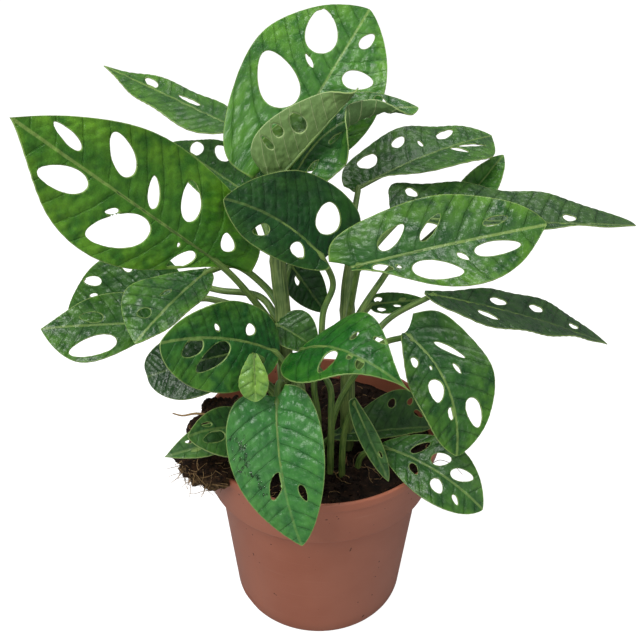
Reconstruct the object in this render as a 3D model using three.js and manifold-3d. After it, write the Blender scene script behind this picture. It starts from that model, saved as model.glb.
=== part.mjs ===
// A potted Swiss cheese vine (Monstera adansonii): a 12 cm nursery pot filled with soil, the plant's
// stems standing in the soil, and its leaves, each a holed blade grown together with its stalk.
// Millimetres, +Z up. The origin is the middle of the pot's underside, on the ground.
import * as THREE from 'three';
import { mergeVertices } from 'three/addons/utils/BufferGeometryUtils.js';
import Module from 'manifold-3d';

const wasm = await Module();
wasm.setup();

// ---------------------------------------------------------------- driving dimensions
const touchGap = 0.3; // between two pieces that touch

const potHeight = 102;
const potRimRadius = 60;
const potLipHeight = 5;
const potLipDepth = 0.8;
const potStepHeight = 76; // where the collar steps in to the body
const potCollarRadius = 56.7; // at the step
const potShoulderRadius = 52; // of the body just under the step
const potBaseRadius = 45.2;
const potBaseRound = 2.5; // of the edge that it stands on
const potWall = 1.8;
const potFloor = 2.5;
const potFootRise = 0.8; // height of the foot ring
const potFootWidth = 6;
const potSides = 48;
const potNotchAngle = 218; // where the foot's edge is cut flat
const potNotchDepth = 0.8;
const potNotchHeight = 7;
const drainHoles = 8;
const drainHoleRadius = 3.5;
const drainHoleSides = 12;
const drainRingRadius = 30;
const pastFace = 1; // how far a cutting tool reaches past the face it cuts

const soilHeight = 91; // mean level of the soil's surface
const soilLump = 2.2;
const soilLevelEdge = 12; // the width of the even ring of soil along the pot's wall
const soilRings = 6;
const soilSpokes = 32;

const bladeThickness = 0.9;
const ribDepth = 1.1; // how far the midrib stands out under the blade, at its base
const bladeReach = 0.04; // how far the stalk runs in under the blade, as a share of the blade's length
const stalkRadius = 1.5;
const stalkSides = 6;
const stalkStep = 12;
const stemSides = 10;
const stemStep = 12;
const rootEnd = 74; // how deep stems and stalks reach down into the soil

// ---------------------------------------------------------------- solids
function solidOf(geometry) {
  geometry.deleteAttribute('normal');
  geometry.deleteAttribute('uv');
  const merged = mergeVertices(geometry, 1e-4);
  return new wasm.Manifold(new wasm.Mesh({
    numProp: 3,
    vertProperties: new Float32Array(merged.attributes.position.array),
    triVerts: new Uint32Array(merged.index.array),
  }));
}

function meshOf(name, solid, color, roughness) {
  const { vertProperties, triVerts } = solid.getMesh();
  const geometry = new THREE.BufferGeometry();
  geometry.setAttribute('position', new THREE.BufferAttribute(new Float32Array(vertProperties), 3));
  geometry.setIndex(new THREE.BufferAttribute(new Uint32Array(triVerts), 1));
  geometry.computeVertexNormals();
  const mesh = new THREE.Mesh(geometry, new THREE.MeshStandardMaterial({ color, roughness, metalness: 0 }));
  mesh.name = name;
  return mesh;
}

const vector = (point) => new THREE.Vector3(...point);

// A round rod along the smooth line through the points, grown all round by gap.
function rod(points, radius, sides, step, gap = 0) {
  const line = points.map(vector);
  const start = line[0].clone().sub(line[1]).normalize().multiplyScalar(gap);
  const end = line.at(-1).clone().sub(line.at(-2)).normalize().multiplyScalar(gap);
  line[0].add(start);
  line[line.length - 1].add(end);
  const curve = new THREE.CatmullRomCurve3(line, false, 'centripetal');
  const section = new THREE.Shape();
  for (let i = 0; i < sides; i += 1) {
    const angle = (2 * Math.PI * i) / sides;
    const corner = [(radius + gap) * Math.cos(angle), (radius + gap) * Math.sin(angle)];
    if (i === 0) {
      section.moveTo(...corner);
    } else {
      section.lineTo(...corner);
    }
  }
  const steps = Math.max(4, Math.round(curve.getLength() / step));
  return solidOf(new THREE.ExtrudeGeometry(section, { steps, bevelEnabled: false, extrudePath: curve }));
}

function turned(profile) {
  const points = profile.map(([radius, height]) => new THREE.Vector2(radius, height));
  const lathe = new THREE.LatheGeometry(points, potSides);
  lathe.rotateX(Math.PI / 2);
  return solidOf(lathe);
}

// ---------------------------------------------------------------- pot
function potOutside(gap) {
  const lipFoot = potHeight - potLipHeight;
  const roundMiddle = potBaseRound * (1 - Math.SQRT1_2);
  return [
    [potBaseRadius - potBaseRound + gap, -gap],
    [potBaseRadius - roundMiddle + gap, roundMiddle - gap],
    [potBaseRadius + gap, potBaseRound],
    [potShoulderRadius + gap, potStepHeight - gap],
    [potCollarRadius + gap, potStepHeight - gap],
    [potRimRadius - potLipDepth + gap, lipFoot - gap],
    [potRimRadius + gap, lipFoot + potLipDepth - gap],
    [potRimRadius + gap, potHeight + gap],
  ];
}

function potInside(gap) {
  return [
    [potRimRadius - potWall - gap, potHeight + gap],
    [potCollarRadius - potWall - gap, potStepHeight + potWall + gap],
    [potShoulderRadius - potWall - gap, potStepHeight + potWall + gap],
    [potBaseRadius - potWall - gap, potFootRise + potFloor + gap],
  ];
}

function potBody(gap) {
  return turned([[0, -gap], ...potOutside(gap), ...potInside(gap), [0, potFootRise + potFloor + gap]]);
}

function makePot() {
  // between the foot ring and the middle pad a shallow ring lets the water out
  const foot = potBaseRadius - potFootWidth;
  const pad = drainRingRadius - drainHoleRadius - potFootWidth;
  const channel = [[pad, -pastFace], [foot, -pastFace], [foot, potFootRise], [pad, potFootRise]];
  const cuts = [turned([...channel, channel[0]])];
  const drillLength = 2 * (potFootRise + potFloor + pastFace);
  for (let i = 0; i < drainHoles; i += 1) {
    const angle = (2 * Math.PI * (i + 0.5)) / drainHoles;
    const drill = new THREE.CylinderGeometry(drainHoleRadius, drainHoleRadius, drillLength, drainHoleSides);
    drill.rotateX(Math.PI / 2);
    drill.translate(drainRingRadius * Math.cos(angle), drainRingRadius * Math.sin(angle), 0);
    cuts.push(solidOf(drill));
  }
  const notch = new THREE.BoxGeometry(2 * potNotchHeight, potBaseRadius, 2 * potNotchHeight);
  notch.translate(potBaseRadius - potNotchDepth + potNotchHeight, 0, 0);
  notch.rotateZ(THREE.MathUtils.degToRad(potNotchAngle));
  cuts.push(solidOf(notch));
  return potBody(0).subtract(wasm.Manifold.union(cuts));
}

// ---------------------------------------------------------------- soil
// Lumps of the soil's surface.
function soilBump(x, y) {
  const coarse = Math.sin(0.13 * x + 1.7) * Math.cos(0.11 * y - 0.6);
  const fine = Math.sin(0.31 * x - 0.27 * y) * Math.cos(0.29 * x + 0.36 * y + 2);
  return soilLump * (0.6 * coarse + 0.5 * fine);
}

function soilBody(gap) {
  const [rim, step, shoulder, floor] = potInside(touchGap);
  const topRadius = THREE.MathUtils.mapLinear(soilHeight, step[1], rim[1], step[0], rim[0]);
  const profile = [[0, floor[1]], floor, shoulder, step];
  for (let ring = 0; ring <= soilRings; ring += 1) {
    profile.push([topRadius * (1 - ring / soilRings), soilHeight + gap]);
  }
  const lathe = new THREE.LatheGeometry(profile.map(([r, z]) => new THREE.Vector2(r, z)), soilSpokes);
  lathe.rotateX(Math.PI / 2);
  const place = lathe.attributes.position;
  for (let i = 0; i < place.count; i += 1) {
    if (place.getZ(i) > soilHeight - 1) {
      const [x, y] = [place.getX(i), place.getY(i)];
      const free = THREE.MathUtils.clamp((topRadius - Math.hypot(x, y)) / soilLevelEdge, 0, 1);
      place.setZ(i, place.getZ(i) + free * soilBump(x, y));
    }
  }
  return solidOf(lathe);
}

// ---------------------------------------------------------------- root clump
// A lump of peat and fine roots that lies on the soil and hangs over the rim: [middle, radii].
const clumpLumps = [
  [[-46, -18, 108], [15, 17, 18]],
  [[-50, -34, 105], [15, 13, 12]],
];
const clumpRoughness = 0.13;

function makeRootClump() {
  const lumps = clumpLumps.map(([middle, radii]) => {
    const lump = new THREE.IcosahedronGeometry(1, 3);
    const place = lump.attributes.position;
    for (let i = 0; i < place.count; i += 1) {
      const [x, y, z] = [place.getX(i), place.getY(i), place.getZ(i)];
      const rough = Math.sin(5 * x + 2 * z) * Math.sin(6 * y + 1) + 0.6 * Math.sin(11 * z - 7 * x + 3 * y);
      const size = 1 + clumpRoughness * rough;
      const corner = [x, y, z].map((value, axis) => middle[axis] + size * radii[axis] * value);
      place.setXYZ(i, ...corner);
    }
    return solidOf(lump);
  });
  const levelSoil = turned([
    [0, 0],
    [potRimRadius, 0],
    [potRimRadius, soilHeight + touchGap],
    [0, soilHeight + touchGap],
  ]);
  const carried = wasm.Manifold.union([potBody(touchGap), soilBody(touchGap), levelSoil]);
  return wasm.Manifold.union(lumps).subtract(carried);
}

// ---------------------------------------------------------------- stems
const stems = [
  { name: 'stem_left', radius: 4,
    line: [[-14, -12, rootEnd], [-16, -12, 127], [-17, -12, 171], [-19, -8, 194], [-18, -4, 212]] },
  { name: 'stem_right', radius: 3.8,
    line: [[14, -4, rootEnd], [13, -8, 130], [12, -7, 159], [12, -3, 178], [14, 2, 192]] },
  { name: 'stem_front', radius: 3,
    line: [[-6, -27, rootEnd], [-7, -27, 112], [-9, -27, 138], [-11, -27, 147]] },
];

// ---------------------------------------------------------------- leaves
// Each leaf's blade starts at base and ends at tip, and its upper side looks towards faces. The two
// numbers of half, belly, point, lobe, fold, curl and roll are for its left and right half, seen with
// the tip up: half is the half's width, belly how far along the blade it is widest, point how gradually
// it narrows to the tip, lobe how far it reaches back past the base, fold how many degrees it rises
// from the midrib, curl how many more by its margin, and roll how many more in the blade's outer part.
// arch and swing bow the midrib upwards and to the right. wave lifts and lowers the margin.
// holes are [along, across, length, width, turn]: along and across place the hole's middle, across
// counts from the midrib to the margin and is negative on the left, and turn is the angle in degrees
// that its length makes with a line straight out from the midrib, towards the tip.
// stalk is the line of the leaf's stalk, up to the blade's base.
const leaves = [
  // the crown
  { name: 'leaf_left_large', color: 0x5f9e2b, base: [-41, -25, 200], tip: [-95, -75, 272],
    faces: [0.3, -0.8, 0.5], half: [23.5, 27], belly: [0.53, 0.35], point: [1.25, 1],
    lobe: [0, 0.2], fold: [0, 5], arch: 0, swing: 0, wave: 1.2,
    holes: [[0.81, 0.46, 12.5, 4.2, 80], [0.61, 0.52, 17, 8.5, 60], [0.435, 0.28, 12.5, 5, 35],
      [0.285, 0.48, 17, 7.5, 38], [0.083, 0.46, 10, 3.6, 52], [0.755, -0.38, 19, 8.4, 73],
      [0.477, -0.47, 27, 12, 58], [0.18, -0.64, 14, 5.5, 45]],
    stalk: [[-17, -12, 158], [-28, -17, 178], [-37, -23, 194]] },
  { name: 'leaf_top', color: 0x3f8a2e, base: [-18, 26, 232], tip: [20, 51, 289],
    faces: [0, -0.85, 0.4], half: [34.5, 26.5], belly: [0.38, 0.4], lobe: [0.3, 0.1], fold: [5, 5],
    arch: 0, swing: 0, wave: 1.5,
    holes: [[0.71, -0.5, 19, 14, 60], [0.34, -0.52, 26, 14, 32], [0.82, 0.42, 8.5, 5, 75],
      [0.58, 0.48, 14, 8, 20]],
    stalk: [[-18, -6, 202], [-21, 12, 216]] },
  { name: 'leaf_top_furled', color: 0x6d9c48, base: [-21, -5, 228], tip: [14, 5, 265],
    faces: [-0.75, 0.1, 0.6], half: [15, 18], belly: [0.22, 0.22], lobe: [0, 0], fold: [45, 55],
    curl: [50, 40], arch: 0, swing: 0,
    holes: [[0.46, 0.58, 9, 6, 10], [0.3, 0.74, 6, 4, 10], [0.18, 0.7, 7, 2.6, 5]],
    stalk: [[-19, -6, 204], [-20, -6, 218]] },
  { name: 'leaf_top_folded', color: 0x2c6f28, base: [-15, -3, 222], tip: [40, 15, 255],
    faces: [-0.2, -0.7, 0.6], half: [12, 17], belly: [0.5, 0.42], fold: [10, 10], roll: [0, 150],
    arch: 0, swing: -14, wave: 0.8,
    holes: [[0.22, 0.38, 8, 2.6, 85], [0.82, -0.45, 6, 4, 15]],
    stalk: [[-18, -7, 198], [-15, -3, 211]] },
  { name: 'leaf_upper_right', color: 0x3c7a34, base: [14, 30, 213], tip: [86, 75, 227],
    faces: [0, -0.35, 0.94], half: [20.5, 18], belly: [0.4, 0.7], point: [0.7, 1.15],
    lobe: [0.04, 0], fold: [5, 5], arch: 4, swing: 0, wave: 1.5,
    holes: [[0.186, -0.6, 11.5, 7.8, 60], [0.4, -0.64, 9, 5, 65], [0.705, -0.55, 12.5, 5.2, 75],
      [0.79, 0.24, 15, 2.6, 70], [0.685, 0.27, 9.5, 3.4, 32]],
    stalk: [[13, 0, 186], [14, 16, 202]] },
  { name: 'leaf_small_right_tip', color: 0x4d8a3c, base: [68, 54, 194], tip: [91, 66, 220],
    faces: [0, -0.8, 0.5], half: [8, 10], fold: [30, 30], arch: 0, swing: 0,
    holes: [[0.42, 0.35, 4.5, 3, 25]],
    stalk: [[12, -6, 152], [17, -2, 164], [28, 14, 174], [33, 22, 177], [51, 36, 186]] },
  { name: 'leaf_upper_left', color: 0x3a7430, base: [-39, 42, 238], tip: [-105, 67, 261],
    faces: [0, -0.3, 0.95], half: [15, 9.5], belly: [0.3, 0.35], point: [1.1, 1.1], fold: [5, 5],
    arch: 0, swing: 0, wave: 1.2,
    holes: [[0.66, 0.4, 8, 4, 75], [0.38, 0.3, 12, 2.6, 90]],
    stalk: [[-19, -9, 188], [-27, 16, 208], [-34, 33, 227]] },
  { name: 'leaf_back_left', color: 0x2f6b2a, base: [-31, 35, 206], tip: [-77, 75, 222],
    faces: [0, -0.6, 0.8], half: [14, 17], fold: [5, 5], arch: 0, swing: 0, wave: 1,
    holes: [[0.77, 0.45, 10, 7, 60], [0.53, 0.62, 12, 7, 80]],
    stalk: [[-18, -11, 178], [-24, 14, 194]] },
  { name: 'leaf_far_right', color: 0x2f6329, base: [31, 15, 206], tip: [154, 40, 193],
    faces: [0, -0.1, 1], half: [25, 3], belly: [0.2, 0.4], point: [0.45, 0.8], fold: [15, -20],
    arch: 0, swing: 0, wave: 1.2, waves: 3,
    holes: [[0.09, -0.72, 7, 6, 0], [0.72, -0.2, 7, 4.5, 88]],
    stalk: [[13, -1, 182], [24, 6, 196]] },
  { name: 'leaf_right_large', color: 0x4a8a3e, base: [11, -45, 209], tip: [81, -50, 229],
    faces: [0, -0.8, 0.6], half: [17.8, 16.5], belly: [0.4, 0.6], point: [0.7, 1.1],
    lobe: [0.14, 0], fold: [5, 5], arch: 3, swing: 0, wave: 1.5,
    holes: [[0.24, -0.41, 13, 5, 56], [0.43, -0.405, 12, 3.8, 47], [0.75, -0.38, 9, 3, 85],
      [0.16, 0.6, 8, 2.8, 70], [0.42, 0.58, 19, 6.8, 72], [0.733, 0.33, 16.5, 5.5, 88]],
    stalk: [[12, -7, 162], [13, -26, 188]] },
  { name: 'leaf_middle_dark', color: 0x1f5a22, base: [1, -18, 200], tip: [-38, -29, 230],
    faces: [0, -0.8, 0.6], half: [14, 24], belly: [0.5, 0.25], lobe: [0.1, 0.25], fold: [5, 5],
    arch: 0, swing: 4, wave: 1,
    holes: [[0.17, 0.52, 13.5, 7.5, 25], [0.26, -0.45, 7, 5.5, 60], [0.6, -0.5, 7, 4.5, 50]],
    stalk: [[-1, -17, rootEnd], [-1, -17, 118], [-3, -17, 136], [0, -17, 156], [1, -16, 174],
      [5, -14, 186]] },
  { name: 'leaf_middle_back', color: 0x1f5a22, base: [-15, 5, 188], tip: [2, 5, 162],
    faces: [0, -0.8, 0.6], half: [8, 8], fold: [5, 5], arch: 0, swing: 0,
    holes: [],
    stalk: [[-17, -12, 168], [-16, -2, 183]] },
  // the right side
  { name: 'leaf_small_right', color: 0x2c6026, base: [23, 15, 161], tip: [51, 25, 159],
    faces: [0, -0.6, 0.8], half: [4.3, 5], fold: [5, 5], arch: 0, swing: 0,
    holes: [[0.17, -0.4, 4.5, 2.6, 80]],
    stalk: [[13, -8, 140], [17, 5, 156]] },
  { name: 'leaf_right_low', color: 0x2c6030, base: [49, 12, 169], tip: [149, 30, 131],
    faces: [0, -0.2, 0.97], half: [16, 16], belly: [0.57, 0.28], point: [1, 1.4], fold: [5, 5],
    arch: 3, swing: 0, wave: 0.8, waves: 3,
    holes: [[0.37, -0.38, 10, 5, 80], [0.58, -0.48, 8.5, 5, 80], [0.795, -0.33, 6.5, 3.5, 80],
      [0.275, 0.49, 11, 4, 70]],
    stalk: [[13, -8, 132], [30, 3, 158]] },
  { name: 'leaf_right_drooping', color: 0x3d7f38, base: [36, -25, 169], tip: [56, -62, 132],
    faces: [0.3, -0.7, 0.6], half: [21.5, 16], belly: [0.35, 0.5], point: [0.6, 0.9], lobe: [0.17, 0],
    fold: [5, 5], arch: 5, swing: -6, wave: 1,
    holes: [[0.243, -0.45, 13, 2.8, 55], [0.73, -0.52, 12.5, 6.5, 80], [0.7, 0.14, 5, 3.5, 80],
      [0.5, 0.34, 10, 7, 70], [0.24, 0.6, 5, 3, 60]],
    stalk: [[6, -20, rootEnd], [6, -20, 118], [14, -17, 138], [26, -18, 158]] },
  // the left side
  { name: 'leaf_left_hanging', color: 0x2f7030, base: [-48, -15, 193], tip: [-75, -45, 174],
    faces: [0, -0.6, 0.8], half: [8, 17], belly: [0.4, 0.6], point: [0.8, 1], fold: [5, 5],
    arch: 3, swing: 0, wave: 1,
    holes: [[0.72, 0.34, 5.5, 4, 45]],
    stalk: [[-18, -10, 172], [-25, -5, 180], [-38, -8, 192]] },
  { name: 'leaf_left_far', color: 0x3a7a34, base: [-71, 0, 158], tip: [-125, -15, 163],
    faces: [0, -0.7, 0.7], half: [17, 14], belly: [0.6, 0.35], point: [1, 1.1], fold: [5, 5],
    arch: 3, swing: 0, wave: 1.2,
    holes: [[0.6, 0.3, 10, 4.5, 85], [0.58, -0.58, 21, 9, 77]],
    stalk: [[-17, -12, 150], [-27, -9, 166], [-47, -5, 173], [-56, -4, 173]] },
  { name: 'leaf_left_behind', color: 0x2f6b2c, base: [-66, 20, 168], tip: [-123, 15, 155],
    faces: [0, -0.85, 0.5], half: [15, 22], fold: [5, 5], arch: 3, swing: 0, wave: 1.2,
    holes: [[0.69, 0.7, 9, 4.5, 75], [0.38, 0.62, 5, 4, 60]],
    stalk: [[-17, -12, 160], [-27, -2, 173], [-46, 1, 175], [-59, 10, 173]] },
  { name: 'leaf_left_shaded', color: 0x1f5424, base: [-38, -5, 146], tip: [-80, -15, 138],
    faces: [0, -0.7, 0.7], half: [16, 14], belly: [0.5, 0.5], point: [0.6, 0.35], fold: [5, 5],
    arch: 3, swing: 0, wave: 1,
    holes: [],
    stalk: [[-15, -12, 106], [-26, -10, 132]] },
  { name: 'leaf_left_glossy', color: 0x2a6e34, base: [-18, -30, 161], tip: [-60, -64, 186],
    faces: [0, -0.8, 0.5], half: [21, 15], belly: [0.5, 0.35], point: [0.65, 0.8], fold: [5, 5],
    arch: 0, swing: 4, wave: 1,
    holes: [[0.75, -0.21, 10.5, 7, 60], [0.57, -0.36, 19, 7.5, 54], [0.28, 0.35, 5, 5, 30],
      [0.2, -0.46, 7, 6, 20]],
    stalk: [[-9, -27, 136], [-13, -28, 150]] },
  // the front
  { name: 'leaf_inner', color: 0x2a5e22, base: [-20, -17, 168], tip: [-2, -22, 158],
    faces: [0, -0.6, 0.8], half: [10, 7.5], fold: [15, 15], arch: 2, swing: 0,
    holes: [],
    stalk: [[-16, -12, 140], [-20, -18, 156]] },
  { name: 'leaf_front_arching', color: 0x246b26, base: [-9, -35, 165], tip: [34, -68, 168],
    faces: [0, -0.5, 0.86], half: [17.5, 18.5], belly: [0.45, 0.27], point: [1.8, 2],
    lobe: [0, 0.08], fold: [5, 5], arch: 13, swing: 0, wave: 0.8,
    holes: [[0.43, 0.42, 12, 5.5, 5], [0.66, 0.33, 6, 2.8, 20]],
    stalk: [[5, -26, rootEnd], [5, -26, 127], [4, -28, 143], [-4, -32, 158]] },
  { name: 'leaf_front_drooping', color: 0x3a8038, base: [-18, -48, 151], tip: [-7, -80, 99],
    faces: [0, -0.85, 0.4], half: [18, 20], belly: [0.35, 0.25], point: [0.8, 0.9],
    lobe: [0.1, 0.1], fold: [10, 10], arch: 3, swing: 3, wave: 0.5,
    holes: [[0.57, 0.2, 11.5, 5, 65], [0.63, -0.48, 7, 3, 80]],
    stalk: [[-16, -12, 122], [-17, -28, 144], [-18, -40, 151]] },
  { name: 'leaf_young', color: 0x8cb85a, base: [-27, -48, 172], tip: [-26, -56, 154],
    faces: [0, -0.85, 0.4], half: [5, 6], belly: [0.6, 0.6], fold: [30, 30], curl: [-50, -50],
    arch: 0, swing: 0,
    holes: [],
    stalk: [[-8, -27, 126], [-24, -29, 145], [-32, -35, 157], [-27, -40, 162], [-24, -45, 167]] },
  // low, by the soil
  { name: 'leaf_low_left', color: 0x4a7a3c, base: [-33, -40, 124], tip: [-66, -55, 124],
    faces: [0, -0.7, 0.7], half: [4.5, 8], belly: [0.5, 0.45], point: [1.2, 1.2], fold: [15, 15],
    arch: 3, swing: 0,
    holes: [],
    stalk: [[-16, -30, rootEnd], [-18, -32, 104], [-25, -36, 118]] },
  { name: 'leaf_low_left_small', color: 0x4a7a3c, base: [-30, -44, 131], tip: [-54, -60, 139],
    faces: [0, -0.7, 0.7], half: [12, 8], fold: [5, 5], arch: 0, swing: 2,
    holes: [[0.6, -0.32, 10.5, 4.8, 85]],
    stalk: [[-12, -36, rootEnd], [-14, -38, 108], [-22, -42, 124]] },
  { name: 'leaf_low_right', color: 0x3d6f3a, base: [28, -29, 110], tip: [72, -56, 97],
    faces: [0, -0.7, 0.7], half: [14, 13], belly: [0.5, 0.55], fold: [5, 5],
    arch: 6, swing: -3, wave: 0.8,
    holes: [[0.3, -0.45, 9.5, 3.5, 37], [0.5, -0.38, 9, 5.5, 58], [0.71, -0.4, 10.5, 5, 65],
      [0.35, 0.34, 6, 3, 58], [0.58, 0.41, 7, 5, 60]],
    stalk: [[18, -22, rootEnd], [20, -24, 100]] },
  { name: 'leaf_low_right_inner', color: 0x2c5a26, base: [5, -10, 101], tip: [57, -2, 101],
    faces: [0, -0.7, 0.7], half: [19, 5], belly: [0.65, 0.4], fold: [5, 40], arch: 3, swing: 0,
    holes: [[0.57, -0.68, 5, 3.5, 30], [0.84, -0.45, 5.5, 2.8, 125]],
    stalk: [[2, -8, rootEnd], [2, -8, 94]] },
  { name: 'leaf_narrow', color: 0x3d7038, base: [14, -32, 139], tip: [31, -45, 103],
    faces: [0, -0.7, 0.7], half: [3.6, 4], belly: [0.6, 0.45], fold: [15, 15], arch: 0, swing: 0,
    holes: [],
    stalk: [[11, -28, rootEnd], [11, -28, 115]] },
];

const baseWidth = 0.002; // keeps the blade's base from closing to a point
const bladeNeck = 1.6; // half the blade's width where it meets its stalk
const lobePlace = 0.1; // how much of the blade's length its base lobes take up
const veinSlant = 0.15; // how much the side veins lean towards the tip
const flatFrom = [0.75, 0.97]; // along the blade, where its folds open out towards the tip
const rollFrom = [0.35, 0.6]; // where its roll sets in
const waveShift = 0.35; // how far the left margin's wave is ahead of the right one's
const leastCurl = 1e-3;
const marginStep = 8;
const panelBow = 0.4; // how much a panel's sides bow in while it is laid out flat
const panelLength = 15; // between the side veins where the blade is divided
const holeClear = 0.012; // between a hole and such a vein, as a share of the blade's length
const holeMargin = 0.86; // how far out a hole may reach
const ribClear = 1.3; // how near to the midrib
const slimHole = 3.5; // narrower holes have fewer corners
const tipFrom = 0.999; // past this the blade is one point

const evenly = [0.35, 0.35];
const blunt = [0.8, 0.8];
const none = [0, 0];

// The width of a half along the blade, as a share of its greatest width.
function widthAt(along, belly, point) {
  const rise = (point * (belly + baseWidth)) / (1 - belly);
  return ((along + baseWidth) / (belly + baseWidth)) ** rise * ((1 - along) / (1 - belly)) ** point;
}

function halfWidth(leaf, side, along) {
  const share = widthAt(along, (leaf.belly ?? evenly)[side], (leaf.point ?? blunt)[side]);
  return leaf.half[side] * share + bladeNeck * (1 - along);
}

function bladeLength(leaf) {
  return vector(leaf.tip).distanceTo(vector(leaf.base));
}

// The point of the blade at along, 0 at the base to 1 at the tip, and across, -1 to 1.
function bladePoint(leaf, along, across) {
  const length = bladeLength(leaf);
  const base = vector(leaf.base);
  const axis = vector(leaf.tip).sub(base).normalize();
  const right = axis.clone().cross(vector(leaf.faces)).normalize();
  const up = right.clone().cross(axis);
  const side = across < 0 ? 0 : 1;
  const share = Math.abs(across);
  const width = halfWidth(leaf, side, along);
  const folded = 1 - THREE.MathUtils.smoothstep(along, ...flatFrom);
  const fold = THREE.MathUtils.degToRad(leaf.fold[side]) * folded;
  const rolled = (leaf.roll ?? none)[side] * THREE.MathUtils.smoothstep(along, ...rollFrom);
  const curl = THREE.MathUtils.degToRad((leaf.curl ?? none)[side] + rolled) * folded || leastCurl;
  const out = (width * (Math.sin(fold + curl * share) - Math.sin(fold))) / curl;
  const rise = (width * (Math.cos(fold) - Math.cos(fold + curl * share))) / curl;
  // the lobe reaches back farthest where along is half of lobePlace
  const back = (0.5 + along / lobePlace) * Math.exp(0.5 - along / lobePlace);
  const lobe = (leaf.lobe ?? none)[side] * length * back * share ** 1.5;
  const phase = (leaf.waves ?? 2) * along + waveShift * (1 - side);
  const swell = Math.min(1, 1.5 * widthAt(along, evenly[side], blunt[side]));
  const ripple = (leaf.wave ?? 0) * share ** 2 * Math.sin(2 * Math.PI * phase) * swell;
  const bow = 4 * along * (1 - along);
  return base
    .addScaledVector(axis, length * along + veinSlant * width * share - lobe)
    .addScaledVector(up, leaf.arch * bow + rise + ripple)
    .addScaledVector(right, leaf.swing * bow + Math.sign(across) * out);
}

function bladeNormal(leaf, along, across) {
  const [dt, ds] = [0.01, 0.05];
  const t = Math.min(Math.max(along, dt), 1 - 3 * dt);
  const s = Math.min(Math.max(across, ds - 1), 1 - ds);
  const alongStep = bladePoint(leaf, t + dt, s).sub(bladePoint(leaf, t - dt, s));
  const acrossStep = bladePoint(leaf, t, s + ds).sub(bladePoint(leaf, t, s - ds));
  return acrossStep.cross(alongStep).normalize();
}

// A hole's outline as [along, across] points.
function holeOutline(leaf, [along, across, length, width, turn]) {
  const side = across < 0 ? 0 : 1;
  const middle = Math.abs(across) * halfWidth(leaf, side, along);
  const angle = THREE.MathUtils.degToRad(turn);
  const corners = width < slimHole ? 6 : 8;
  const outline = [];
  for (let i = 0; i < corners; i += 1) {
    const lengthwise = (length / 2) * Math.cos((2 * Math.PI * i) / corners);
    const crosswise = (width / 2) * Math.sin((2 * Math.PI * i) / corners);
    const outward = lengthwise * Math.cos(angle) - crosswise * Math.sin(angle);
    const tipward = lengthwise * Math.sin(angle) + crosswise * Math.cos(angle);
    const out = Math.max(middle + outward, ribClear);
    const t = along + (tipward + veinSlant * (middle - out)) / bladeLength(leaf);
    const share = Math.min(out / halfWidth(leaf, side, t), holeMargin);
    outline.push([t, Math.sign(across) * share]);
  }
  return outline;
}

// Places along the blade where a half is divided, clear of its holes.
function divisions(outlines, length) {
  const spans = outlines.map((outline) => {
    const places = outline.map(([t]) => t);
    return [Math.min(...places) - holeClear, Math.max(...places) + holeClear];
  });
  spans.sort((a, b) => a[0] - b[0]);
  const groups = [];
  for (const [low, high] of spans) {
    if (groups.length && low < groups.at(-1)[1]) {
      groups.at(-1)[1] = Math.max(groups.at(-1)[1], high);
    } else {
      groups.push([low, high]);
    }
  }
  const places = [0, 1];
  const count = Math.max(2, Math.round(length / panelLength));
  for (let i = 1; i < count; i += 1) {
    if (groups.every(([low, high]) => i / count < low || i / count > high)) {
      places.push(i / count);
    }
  }
  for (let i = 1; i < groups.length; i += 1) {
    const [low, high] = [groups[i - 1][1], groups[i][0]];
    if (!places.some((t) => t >= low && t <= high)) {
      places.push((low + high) / 2);
    }
  }
  return places.sort((a, b) => a - b);
}

// Swaps the shared edges of a panel's triangles until none is long and thin that needn't be.
function evened(triangles, points) {
  const angleAt = (apex, a, b) => {
    const toA = points[a].clone().sub(points[apex]);
    const toB = points[b].clone().sub(points[apex]);
    return Math.abs(toA.angleTo(toB));
  };
  for (let swaps = 0; swaps < 20 * triangles.length; swaps += 1) {
    const edges = new Map();
    for (const triangle of triangles) {
      const [a, b, c] = triangle;
      edges.set(`${a} ${b}`, { triangle, a, b, apex: c });
      edges.set(`${b} ${c}`, { triangle, a: b, b: c, apex: a });
      edges.set(`${c} ${a}`, { triangle, a: c, b: a, apex: b });
    }
    const uneven = [...edges.values()].find(({ a, b, apex }) => {
      const across = edges.get(`${b} ${a}`);
      return across && angleAt(apex, a, b) + angleAt(across.apex, a, b) > Math.PI + 1e-6;
    });
    if (!uneven) {
      break;
    }
    const { triangle, a, b, apex } = uneven;
    const across = edges.get(`${b} ${a}`);
    triangle.splice(0, 3, apex, a, across.apex);
    across.triangle.splice(0, 3, across.apex, b, apex);
  }
  return triangles;
}

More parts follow.
